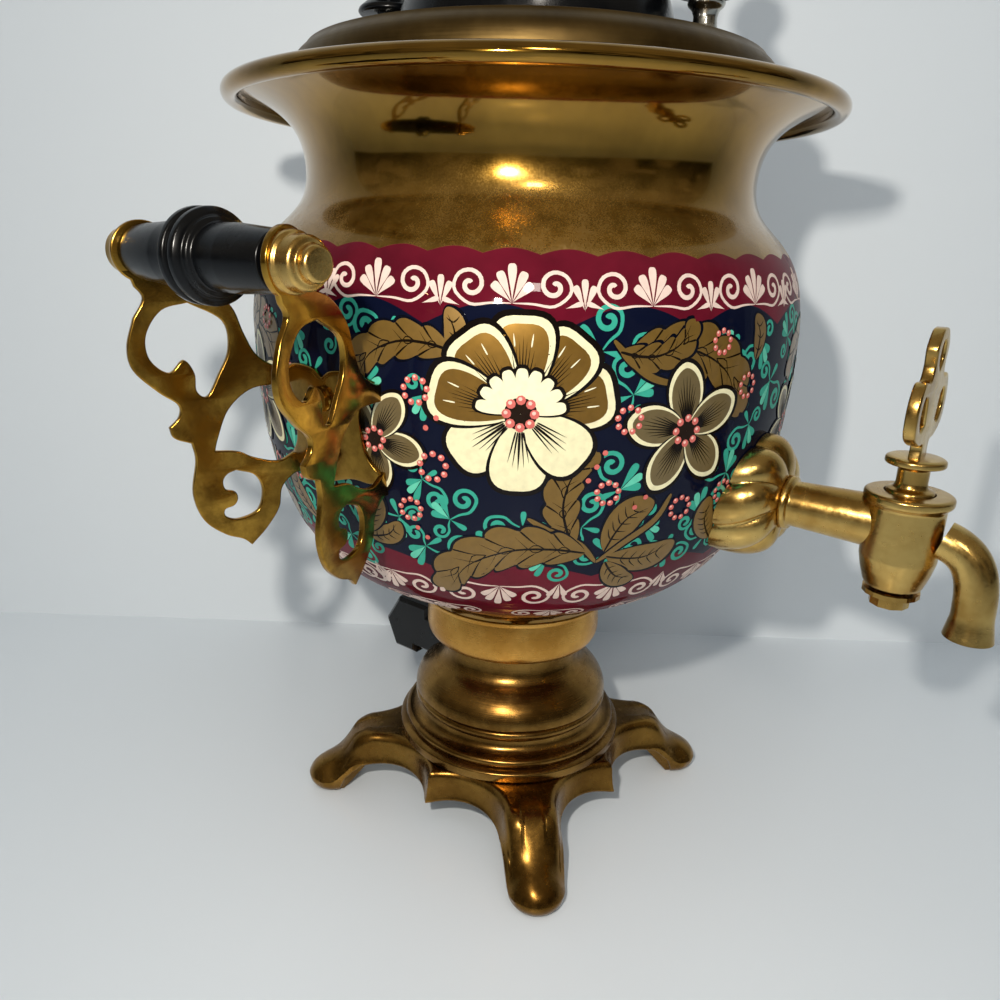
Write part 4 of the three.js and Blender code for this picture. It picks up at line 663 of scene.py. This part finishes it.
# Each layer's paint: its name, colour, share of metal powder, roughness, and its lift off the body's metal.
# Enamel is brushed on by hand, so it is a little thinner and darker here and there.
enamels = {
    "teal": ("enamel, sea green", "#37a08a", 0.0, 0.45, 0.04),
    "teal_light": ("enamel, pale sea green", "#62c4a8", 0.0, 0.45, 0.055),
    "pink": ("enamel, pale pink", "#e3cabd", 0.0, 0.45, 0.06),
    "shade": ("enamel, near black blue", "#080b16", 0.0, 0.4, 0.075),
    "bronze": ("bronze powder paint", "#7f6127", 0.45, 0.45, 0.075),
    "leaf_vein": ("enamel, brown black, fine", "#171009", 0.0, 0.45, 0.075),
    "rim": ("enamel, near black brown", "#120d0b", 0.0, 0.4, 0.22),
    "cream": ("enamel, cream", "#e6dfb6", 0.0, 0.45, 0.22),
    "bronze_bright": ("gold powder paint", "#8a6624", 0.7, 0.4, 0.22),
    "bronze_dark": ("gold powder paint, stippled dark", "#75643f", 0.4, 0.45, 0.22),
    "vein": ("enamel, black", "#140d07", 0.0, 0.45, 0.42),
    "cream_top": ("enamel, pale cream", "#ece5c0", 0.0, 0.45, 0.435),
    "vein_top": ("enamel, dark brown", "#20130a", 0.0, 0.45, 0.45),
    "coral": ("enamel, coral", "#cf6a62", 0.0, 0.4, 0.465),
    # The berries' paler dabs below are a painted highlight.
    "berry_highlight": ("enamel, blush", "#f0c4b6", 0.0, 0.4, 0.485),
}
for layer, (name, code, powder, roughness, lift) in enamels.items():
    enamel, tree, shader, place = material(
        name, "polished_brass", Metallic=powder, Roughness=roughness,
        Specular_IOR_Level=0.5 if powder else 0.0, Coat_Weight=0.35, Coat_Roughness=0.03)
    cover = add(tree, "TexNoise", {"Vector": place, "Scale": 420.0, "Detail": 3.0})
    wire(shader, {"Base Color": add(tree, "ValToRGB", [cover], [(0.3, code, 0.88), (0.6, code)])})
    drawings = [coat(d, quarter, lift + over) for quarter in quarters for d, over in layers[layer]]
    skin(f"painted_{layer}", drawings, enamel, ring=(False, False), crease=50)

# Handles: each a filigree bracket stamped from brass plate and bent to a U, its strap screwed to the body.
# The grip between its eyes is turned black plastic, held by a stepped cap nut at each end.
handle = {
    "eye_reach": 134.0, "eye_height": 126.3, "eye_radius": 7.9, "splay": math.radians(14.87), "start": -5.64,
    "root": 94.0, "drop": 85.5, "thickness": 1.7, "strap_half": 18.6, "strap_height": 34.0,
    "strap_foot": 62.6, "strap_gap": 0.3, "strap_reach": 1.02,
}
plate_outline = [
    [[0.975, 0.96], [0.8, 0.931], [0.613, 0.902], [0.45, 0.833], [0.375, 0.746], [0.287, 0.671],
     [0.125, 0.627], [-0.06, 0.62]],
    [[-0.06, 0.562], [0.175, 0.567], [0.362, 0.556], [0.525, 0.495], [0.615, 0.4], [0.64, 0.36]],
    [[0.64, 0.36], [0.475, 0.348], [0.35, 0.318], [0.175, 0.295], [0.05, 0.317], [-0.06, 0.35]],
    [[-0.06, 0.238], [0.037, 0.242], [0.15, 0.196], [0.182, 0.123], [0.287, 0.055], [0.415, 0]],
    [[0.415, 0], [0.48, 0.028], [0.613, 0.058], [0.757, 0.121], [0.82, 0.219], [0.782, 0.331], [0.8, 0.394]],
    [[0.8, 0.394], [0.915, 0.418], [0.942, 0.454]],
    [[0.942, 0.454], [0.87, 0.487], [0.87, 0.527], [0.988, 0.571], [1.135, 0.644], [1.16, 0.717],
     [1.105, 0.804]],
    [[1.105, 0.804], [1.033, 0.863], [1.09, 0.905]],
]
upper_hole = [
    [0.75, 0.848], [0.925, 0.826], [1.035, 0.752], [1.025, 0.677], [0.908, 0.632], [0.807, 0.67],
    [0.74, 0.625], [0.735, 0.567], [0.662, 0.547], [0.575, 0.614], [0.493, 0.694], [0.52, 0.787]]
lower_hole = [
    [0.5, 0.283], [0.362, 0.256], [0.307, 0.198], [0.35, 0.127], [0.5, 0.106], [0.595, 0.122], [0.6, 0.148],
    [0.53, 0.158], [0.5, 0.18], [0.515, 0.206], [0.585, 0.22], [0.6, 0.25], [0.565, 0.273]]
splay, eye_reach, eye_height = handle["splay"], handle["eye_reach"], body_foot + handle["eye_height"]
plate_size = np.array([eye_reach - handle["root"], handle["drop"]])
plate_origin = np.array([handle["root"], eye_height - handle["drop"]])
eye_across, eye_out = handle["start"] + eye_reach * math.sin(splay), eye_reach * math.cos(splay)


def on_plate(shares):
    """A smooth line through points given as shares of the bracket plate's size."""
    return spline(np.array(shares) * plate_size + plate_origin, 6)[:-1]


def cut_plate(name, loops, thickness, bevel, directions, origin):
    """A plate with holes: outlines filled, thickened, bevelled, and stood along three directions."""
    curve = bpy.data.curves.new(name, "CURVE")
    curve.dimensions, curve.fill_mode = "2D", "BOTH"
    curve.extrude, curve.bevel_depth, curve.bevel_resolution = thickness / 2 - bevel, bevel, 3
    curve.offset = -bevel
    for line in loops:
        run = curve.splines.new("POLY")
        run.points.add(len(line) - 1)
        run.points.foreach_set("co", np.column_stack([line, np.zeros(len(line)), np.ones(len(line))]).ravel())
        run.use_cyclic_u = True
    shape = bpy.data.objects.new(name, curve)
    mesh = bpy.data.meshes.new_from_object(shape)
    bpy.data.objects.remove(shape)
    flat = np.empty(len(mesh.vertices) * 3)
    mesh.vertices.foreach_get("co", flat)
    mesh.vertices.foreach_set("co", metres(flat.reshape(-1, 3) @ np.array(directions) + origin).ravel())
    return mesh


# Aged brass: yellow where it is rubbed, brown in clouds of 15 mm, darkest beside the body, with fine pits.
aged, tree, shader, place = material("brass, stamped and aged", "aged_brass", Metallic=1.0)
old = add(tree, "TexNoise", {"Vector": place, "Scale": 70.0, "Detail": 6.0, "Roughness": 0.7})
patina = add(tree, "ValToRGB", [old], [(0.34, "#7d5a22"), (0.58, "#c4973f")])
to_side = add(tree, "Math", [add(tree, "SeparateXYZ", [place])], operation="ABSOLUTE")
dark_zone = add(tree, "MapRange", [to_side, 0.108, 0.094, 0.0, 0.6])
dark_spots = add(tree, "Math", [dark_zone, old], operation="MULTIPLY")
pits = add(tree, "TexNoise", {"Vector": place, "Scale": 420.0, "Detail": 4.0, "Roughness": 0.6})
wire(shader, {
    "Base Color": add(tree, "Mix", {"Factor": dark_spots, 6: patina, 7: colour("#3d3017")}, data_type="RGBA"),
    "Roughness": add(tree, "MapRange", [old, 0.3, 0.7, 0.26, 0.14]),
    "Normal": add(tree, "Bump", {"Height": pits, "Strength": 0.1, "Distance": 0.0003}),
})

# Black moulding compound, turned and polished: deep gloss, dulled in patches where hands have wiped it.
black, tree, shader, place = material(
    "phenolic plastic, black, polished", "black_plastic",
    Base_Color=colour("#060709"), Specular_IOR_Level=0.35)
wipe = add(tree, "TexNoise", {"Vector": place, "Scale": 90.0, "Detail": 5.0, "Roughness": 0.7})
orange_peel = add(tree, "TexNoise", {"Vector": place, "Scale": 300.0, "Detail": 2.0})
wire(shader, {
    "Roughness": add(tree, "MapRange", [wipe, 0.3, 0.75, 0.14, 0.34]),
    "Normal": add(tree, "Bump", {"Height": orange_peel, "Strength": 0.05, "Distance": 0.0003}),
})
cap_brass = brass(
    "brass, turned and dulled by hands", "#d8b268", "#b08a46", 0.2, depth=0.1, stain=0.35, slot="aged_brass")

# The strap: a sheet on the body's curve between a top and a foot line, narrowest at mid height.
across, up, even = np.linspace(-1, 1, 41)[:, None], np.linspace(0, 1, 17)[None], np.linspace(0, 1, 41)
edge_at = np.abs(across) * handle["strap_reach"]
strap_side = spline([[1.02, 1], [0.828, 0.84], [0.715, 0.6], [0.79, 0.21], [1.02, 0]], 8)
strap_side = strap_side[np.argsort(strap_side[:, 1])]
strap_top = spline([[0, 0.912], [0.215, 0.982], [0.645, 0.994], [1.02, 0.938]], 8)
strap_foot = spline([[0, 0], [0.462, 0.071], [0.844, 0.065], [1.02, 0.159]], 8)
side_at = np.interp(up, even, np.interp(even, *strap_side[:, ::-1].T))
top_at, foot_at = (np.interp(edge_at, *line.T) for line in (strap_top, strap_foot))
strap_y = across * side_at * handle["strap_half"]
strap_z = handle["strap_foot"] + handle["strap_height"] * ((1 - up) * foot_at + up * top_at)
belly_radius = np.interp(strap_z, *body_curve[:below_neck, ::-1].T)
strap_radius = belly_radius + handle["strap_gap"] + handle["thickness"]
strap = np.stack([-np.sqrt(strap_radius ** 2 - strap_y ** 2), strap_y, body_foot + strap_z], 2)

grip_line = softened([
    [2.6, 0], [9.8, 0], [9.8, 0.5], [11.4, 1.1], [11.4, 3.0], [10.2, 3.7], [9.4, 3.9], [9.2, 4.9],
    [7.9, 5.4], [7.9, 13], [6.9, 27.3], [2.6, 27.3]], 0.45, 5)
grip_line = np.vstack([grip_line[::-1] * [1, -1], grip_line])
cap_line = softened([
    [2.5, 1.2], [6.8, 1.2], [7.0, 2.0], [6.9, 3.4], [6.1, 4.0], [6.0, 7.4], [5.4, 8.0], [4.3, 8.2],
    [4.1, 8.8], [4.1, 10.6], [3.5, 11.2], [0, 11.2]], 0.35, 5)
eye = roll([eye_reach, eye_height], handle["eye_radius"], -62, 236, 40)
outline = np.vstack([*map(on_plate, plate_outline), eye])
holes = [on_plate(hole + hole[:1]) for hole in (upper_hole, lower_hole)]
screw_line = [[0, 1.9], [1.6, 1.8], [2.8, 1.4], [3.6, 0.7], [3.8, 0], [0, 0]]
for side, facing in (("left", 1), ("right", -1)):
    flip = np.diag([facing, facing, 1.0, 1.0])
    for end, hand in (("a", 1), ("b", -1)):
        out = [-facing * math.cos(splay), facing * hand * math.sin(splay), 0]
        through = [facing * math.sin(splay), facing * hand * math.cos(splay), 0]
        plate = cut_plate(
            f"plate_{side}", [outline, *holes], handle["thickness"], 0.4,
            [out, [0, 0, 1], through], [0, facing * hand * handle["start"], 0])
        piece(f"bracket_plate_{side}_{end}", plate, aged, replaces=[f"bracket_{side}"])
    hugging = skin(
        f"bracket_strap_{side}", strap @ flip[:3, :3], aged, ring=(False, False),
        replaces=[f"bracket_{side}"])
    thick = hugging.modifiers.new("plate thickness", "SOLIDIFY")
    thick.thickness, thick.offset = handle["thickness"] / 1000, -1
    rounded = hugging.modifiers.new("rounded edge", "BEVEL")
    rounded.width, rounded.segments = 0.0004, 2
    rounded.limit_method, rounded.angle_limit = "ANGLE", math.radians(50)
    lie = flip @ [[1, 0, 0, -eye_out], [0, 0, 1, 0], [0, -1, 0, eye_height], [0, 0, 0, 1]]
    lathe(f"turned_grip_{side}", grip_line, black, [f"grip_{side}"], 96, lie)
    for end, hand in (("a", 1), ("b", -1)):
        line = (cap_line + [0, eye_across]) * [1, hand]
        lathe(f"cap_nut_{side}_{end}", line, cap_brass, [f"ferrule_{side}_{end}"], 64, lie, tube=False)
    for level in ("upper", "lower"):
        low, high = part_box(f"bracket_screw_{side}_{level}")
        reach, middle = 1000 * max(abs(low.x), abs(high.x)) - screw_line[0][1], 500 * (low.z + high.z)
        stand = flip @ [[0, 0, -1, -reach], [0, 1, 0, 0], [1, 0, 0, middle], [0, 0, 0, 1]]
        lathe(f"screw_head_{side}_{level}", screw_line, aged, (), 32, stand, tube=False)

# Tap: cast brass, polished; a lobed rosette covers the hole, the tube runs level to the valve's barrel,
# and the spout bends down from it. The plug key turns in the barrel, held by a washer and a screw below.
tap = {"up": 57.0, "barrel": 137.0, "spout": 158.85, "drop": 28.0, "bore": 4.0, "rosette": 103.2, "tube": 7.3}
tap_height = body_foot + tap["up"]
cast_yellow = brass(
    "brass, cast and polished", "#d3b26a", "#b08c4a", 0.17, line=420.0, depth=0.22, stain=0.25, dull=0.14,
    slot="cast_brass")
out_tap = np.array([[1, 0, 0, 0], [0, 0, -1, 0], [0, 1, 0, tap_height], [0, 0, 0, 1]], float)
at_barrel = np.eye(4)
at_barrel[:3, 3] = [0, -tap["barrel"], tap_height]

# Rosette: eight twisted lobes with sharp creases between, on a dome that falls from the tube to the body.
angle = np.linspace(0, 2 * math.pi, 240, endpoint=False)[:, None]
lean = np.linspace(0, math.pi / 2, 18)[None]
groove = 1 - np.abs(np.cos(4 * angle + 0.9 * lean)) ** 0.6
dome = tap["tube"] + 13.1 * np.cos(lean).clip(0) ** 0.75
lobes = dome - groove * 2.3 * np.cos(lean).clip(0) ** 0.4 * (dome > tap["tube"] + 0.1)
back = lobes[:, :1] + (tap["tube"] - lobes[:, :1]) * np.linspace(1, 0.02, 8)[None]
radius = np.hstack([back, lobes])
depth = np.hstack([np.zeros_like(back), np.sin(lean) ** 0.85 * (1 - 0.16 * groove * np.sin(2 * lean))])
across, up = radius * np.cos(angle), radius * np.sin(angle)
seat = np.sqrt(np.interp(tap["up"] + up, body_curve[:, 1], body_curve[:, 0]) ** 2 - across ** 2) + 0.3
rosette = np.stack([across, -(seat + (tap["rosette"] - seat) * depth), tap_height + up], 2)
skin("tap_rosette_cast", rosette, cast_yellow, crease=80, replaces=["tap_rosette"])

tube_line = softened([
    [4, 75], [6.9, 75], [6.9, 102.9], [8.4, 103.3], [8.6, 104.2], [8.2, 105.2], [7.0, 105.5], [8.2, 136],
    [4, 136]], 0.5, 4)
barrel_line = softened([
    [6.2, -18.2], [7.6, -18.2], [8.3, -17.0], [9.6, -13], [10.5, -9], [10.5, 6.6], [11.2, 7.4], [12, 8.2],
    [12, 10.0], [11.2, 10.6], [6.9, 10.6]], 0.6, 5)
lathe("tap_tube", tube_line, cast_yellow, ["tap_body"], 96, out_tap)
lathe("tap_barrel", barrel_line, cast_yellow, ["tap_body"], 96, at_barrel)
front, foot = -tap["spout"], -tap["drop"]
spout = bezier([0, -tap["barrel"], 0], [0, front, 0], [0, front, foot / 3], [0, front, foot], 40)[8:]
spout_run = np.gradient(spout, axis=0)
spout_run /= np.linalg.norm(spout_run, axis=1)[:, None]
spout_side = np.array([1.0, 0, 0])
turn = np.linspace(0, 2 * math.pi, 48, endpoint=False)[None, :, None]
hoop = np.cos(turn) * spout_side + np.sin(turn) * np.cross(spout_run, spout_side)[:, None]
thick_at = 5.6 + 1.1 * np.clip(np.linspace(-6, 1, len(spout)), 0, 1)
outer, inner = spout[:, None] + thick_at[:, None, None] * hoop, spout[:, None] + tap["bore"] * hoop
skin("tap_spout", np.vstack([outer, inner[::-1]]) + [0, 0, tap_height], cast_yellow, replaces=["tap_body"])

key_side = spline([
    [-0.24, 0], [-0.24, 0.12], [-0.55, 0.14], [-0.95, 0.24], [-1, 0.46], [-0.8, 0.62], [-0.48, 0.62],
    [-0.36, 0.72], [-0.4, 0.86], [-0.2, 0.98], [0, 1]], 6)
key_hole = spline([
    [-0.34, 0.29], [-0.6, 0.25], [-0.8, 0.37], [-0.7, 0.51], [-0.45, 0.48], [-0.34, 0.29]], 6)[:-1]
key_eye = spline([
    [0, 0.68], [0.16, 0.76], [0.14, 0.87], [0, 0.91], [-0.14, 0.87], [-0.16, 0.76], [0, 0.68]], 5)[:-1]
key_size, key_foot = np.array([18.0, 36.0]), np.array([0, 20.7])
key_loops = [np.vstack([key_side, key_side[-2::-1] * [-1, 1]]), key_hole, key_hole * [-1, 1], key_eye]
key_plate = cut_plate(
    "key_plate", [loop * key_size + key_foot for loop in key_loops], 3.2, 0.6,
    [[1, 0, 0], [0, 0, 1], [0, 1, 0]], at_barrel[:3, 3])
piece("key_handle", key_plate, cast_yellow, "tap_key", replaces=["tap_key"])
key_stem = softened([
    [0, -18.8], [5.4, -18.8], [6.6, 10.4], [6.3, 11.4], [4.6, 12.0], [4.2, 13.4], [4.2, 17.6], [5.2, 18.2],
    [8, 18.8], [8, 20.4], [7.0, 21], [0, 21.4]], 0.5, 5)
lathe("key_stem", key_stem, cast_yellow, ["tap_key"], 72, at_barrel, "tap_key", tube=False)

# Lid: a low spun drum that stands inside the brim, left satin and gone brown with age.
# Two nickel posts with black knobs lift it, and the black plastic crown in its middle holds a teapot.
lid_height, post_height = 29.2, 13.7
lid_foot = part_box("lid")[1].z * 1000 - lid_height
lid_outside = np.vstack([
    [[79.5, 0]],
    bezier([79.5, 13.2], [79.5, 20.1], [75.9, 20.1], [74.7, 22.4], 16),
    bezier([74.7, 22.4], [56.0, 27.5], [24.9, 29.2], [0, lid_height], 30)[1:],
])
lid_inside = np.clip(lid_outside - aside(lid_outside) * 1.4, 0, None)
lid_inside[0] = [78.1, 0]
spun_brown = brass(
    "brass, spun and gone brown", "#6a5632", "#4a3a20", 0.36, (0.03, 0.03, 1), 1800.0, 0.1, 0.7)
lid_line = np.vstack([lid_outside[::-1], lid_inside]) + [0, lid_foot]
lathe("lid_drum", lid_line, spun_brown, ["lid"], 224, body="lid", tube=False)
locating = np.array([[71.0, -9], [72.4, -9], [72.4, 21.8], [71.0, 21.8]]) + [0, lid_foot]
lathe("lid_locating_ring", locating, spun_brown, ["lid"], body="lid")

# Nickel plate on steel: a bright grey mirror, dulled in spots of about 3 mm.
nickel, tree, shader, place = material(
    "steel, nickel plated", "nickel", Metallic=1.0, Base_Color=colour("#b9b8b0"))
tarnish = add(tree, "TexNoise", {"Vector": place, "Scale": 300.0, "Detail": 4.0})
wire(shader, {"Roughness": add(tree, "MapRange", [tarnish, 0.3, 0.7, 0.12, 0.3])})
post_line = softened([
    [0, -0.3], [5.6, -0.3], [5.8, 0.4], [5.6, 1.6], [4.4, 3.2], [3.8, 5.0], [3.6, 7.4], [4.2, 9.2],
    [5.4, 10.2], [5.8, 11.0], [5.6, 12.0], [4.6, 12.6], [3.7, 13.4], [0, 13.4]], 0.5, 4)
knob_line = softened([
    [2.2, 0], [10.2, 0], [10.8, 0.8], [10.4, 2.0], [7.4, 4.4], [5.6, 7.0], [5.3, 9.0], [5.8, 10.4],
    [7.2, 11.8], [7.7, 14.2], [7.4, 17.0], [6.0, 19.8], [3.4, 21.8], [0, 22.3]], 1.2, 5)
for number in (1, 2):
    low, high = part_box(f"lid_post_{number}")
    knob_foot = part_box(f"lid_knob_{number}")[0].z * 1000
    stand = np.eye(4)
    stand[:3, 3] = [500 * (low.x + high.x), 500 * (low.y + high.y) - 1000 * axis.y, knob_foot - post_height]
    lathe(f"knob_post_{number}", post_line, nickel, [f"lid_post_{number}"], 64, stand, "lid", tube=False)
    stand[2, 3] = knob_foot
    lathe(f"knob_{number}", knob_line, black, [f"lid_knob_{number}"], 64, stand, "lid")
crown_line = softened(np.vstack([
    [[0, 1.8], [42.5, 1.8], [42.8, 0], [45.1, 0]],
    bezier([45.5, 0.6], [45.4, 7.2], [42.6, 17.2], [36.6, 21.5], 20),
    bezier([36.6, 21.5], [36.2, 25.3], [42.6, 25.3], [42.8, 28.4], 14)[1:],
    [[42.8, 30], [39.8, 30]],
    bezier([39.8, 28.6], [39.6, 25.5], [34.2, 25.9], [33.6, 22.0], 12),
    bezier([34.4, 20.0], [37.5, 16.5], [40.8, 10.0], [42.0, 4.8], 12),
    [[0, 4.8]],
]), 0.4, 4) + [0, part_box("crown")[0].z * 1000]
lathe("crown_cup", crown_line, black, ["crown"], 144, body="lid", tube=False)

# Small parts that stay as they are in the frame: screws, nuts, heater, cover, inlet and leads.
# Each gets the finish of its real material; zinc plate on steel is a cool grey, lightly clouded.
steel = brass("steel, zinc plated", "#a3a7a8", "#7f8486", 0.26, line=700.0, depth=0.1, slot="steel")

# Moulded black rubber: matt, and greyed in small patches where it has bloomed.
seal, tree, shader, place = material("rubber, moulded seal", "rubber", Roughness=0.8)
bloomed = add(tree, "TexNoise", {"Vector": place, "Scale": 220.0, "Detail": 4.0})
wire(shader, {"Base Color": add(tree, "ValToRGB", [bloomed], [(0.35, "#221f1d"), (0.7, "#383431")])})

# Braided glass fibre: off-white, with ridges 1.2 mm apart that catch the light; the colour paints light on
# the ridges and shade in the grooves between them.
sleeve, tree, shader, place = material("glass fibre, braided sleeve", "insulation", Roughness=0.7)
braid = add(tree, "TexWave", {"Vector": place, "Scale": 262.0, "Distortion": 1.0}, bands_direction="DIAGONAL")
wire(shader, {
    # Painted highlight on the braid's ridges and painted shade in its grooves, following the bump.
    "Base Color": add(tree, "ValToRGB", {"Fac": braid.outputs["Fac"]}, [(0.2, "#a79e88"), (0.8, "#d8cfb9")]),
    "Normal": add(tree, "Bump", {"Height": braid.outputs["Fac"], "Strength": 0.4, "Distance": 0.0002}),
})
finishes = {slot_of[finish.name]: finish for finish in (
    polished, cast_satin, aged, cast_yellow, nickel, steel, black, seal, sleeve)}
for subpart in frame["record"]["subparts"]:
    kept = frame["nodes"][subpart["node"]]
    kept.data.materials.clear()
    kept.data.materials.append(finishes[subpart["material_slot"]])

# Stage: a white table against a white wall, a flash beside the camera and a lamp above it.
# The wall is seen, and throws light, from its front only. The room that the brass mirrors is dim and brown.
pale, tree, shader, place = material(
    "lacquered board, white", None, Base_Color=colour("#d6dce0"), Roughness=0.3)
behind = add(tree, "NewGeometry").outputs["Backfacing"]
one_sided = add(tree, "MixShader", [behind, shader, add(tree, "BsdfTransparent")])
wire(tree.nodes["Material Output"], {"Surface": one_sided})
wall_out = Vector((from_scene.x, from_scene.y, 0)).normalized()
far, high = Vector((-wall_out.y, wall_out.x, 0)) * 3, Vector((0, 0, 2.5))
wall_foot = axis - wall_out * 0.134
wall_foot.z = 0
sheets = {
    "table": [(-3, -3, 0), (3, -3, 0), (3, 3, 0), (-3, 3, 0)],
    "wall": [wall_foot - far, wall_foot + far, wall_foot + far + high, wall_foot - far + high],
}
for name, edge in sheets.items():
    sheet = bpy.data.meshes.new(name)
    sheet.from_pydata([tuple(corner) for corner in edge], [], [(0, 1, 2, 3)])
    sheet.materials.append(pale)
    board = bpy.data.objects.new(name, sheet)
    bpy.context.scene.collection.objects.link(board)

world = bpy.data.worlds.new("studio")
world.use_nodes = True
bpy.context.scene.world = world
tree = world.node_tree
direction = add(tree, "TexCoord").outputs["Generated"]
up = add(tree, "SeparateXYZ", [direction]).outputs["Z"]
clutter = add(tree, "TexVoronoi", {"Vector": direction, "Scale": 6.0}, distance="CHEBYCHEV").outputs["Color"]
uneven = add(tree, "Math", [add(tree, "SeparateColor", [clutter]), 0.75, up], operation="MULTIPLY_ADD")
dim = add(tree, "MapRange", [uneven, 0.0, 1.3])
room = add(tree, "ValToRGB", [dim], [(0.2, "#110c08"), (0.74, "#837a6a")])
rays = add(tree, "LightPath").outputs
lit = add(tree, "Mix", {"Factor": rays["Is Glossy Ray"], 6: colour("#9fa5aa"), 7: room}, data_type="RGBA")
shown = add(tree, "Mix", {"Factor": rays["Is Camera Ray"], 6: lit, 7: colour("#d5d8db")}, data_type="RGBA")
wire(tree.nodes["Background"], {"Color": shown})


def lamp(name, power, size, place, target=(0, 0, 0.18), tint="#ffffff"):
    """A square lamp that looks at a point."""
    data = bpy.data.lights.new(name, "AREA")
    data.energy, data.size, data.color = power, size, colour(tint)[:3]
    made = bpy.data.objects.new(name, data)
    made.location = place
    made.rotation_euler = (Vector(target) - Vector(place)).to_track_quat("-Z", "Y").to_euler()
    bpy.context.scene.collection.objects.link(made)
    return made


flash = camera.location - to_right * 0.045 + to_top * 0.06 + from_scene * 0.02
fading = lamp("flash by the camera", 2.6, 0.012, flash, tint="#fff8ee").data
fading.use_nodes = True
falloff = add(fading.node_tree, "LightFalloff", {"Strength": 1.0})
wire(fading.node_tree.nodes["Emission"], {"Strength": falloff.outputs["Linear"]})
lamp("lamp above the camera", 1.6, 0.12, (-0.75, -0.55, 0.72), tint="#fff6ea")
soft = lamp("soft lamp over all", 4.0, 1.2, (-0.5, -0.4, 1.6), (0, 0, 0.1))
soft.visible_glossy = False

bpy.context.scene.view_settings.view_transform = "Standard"
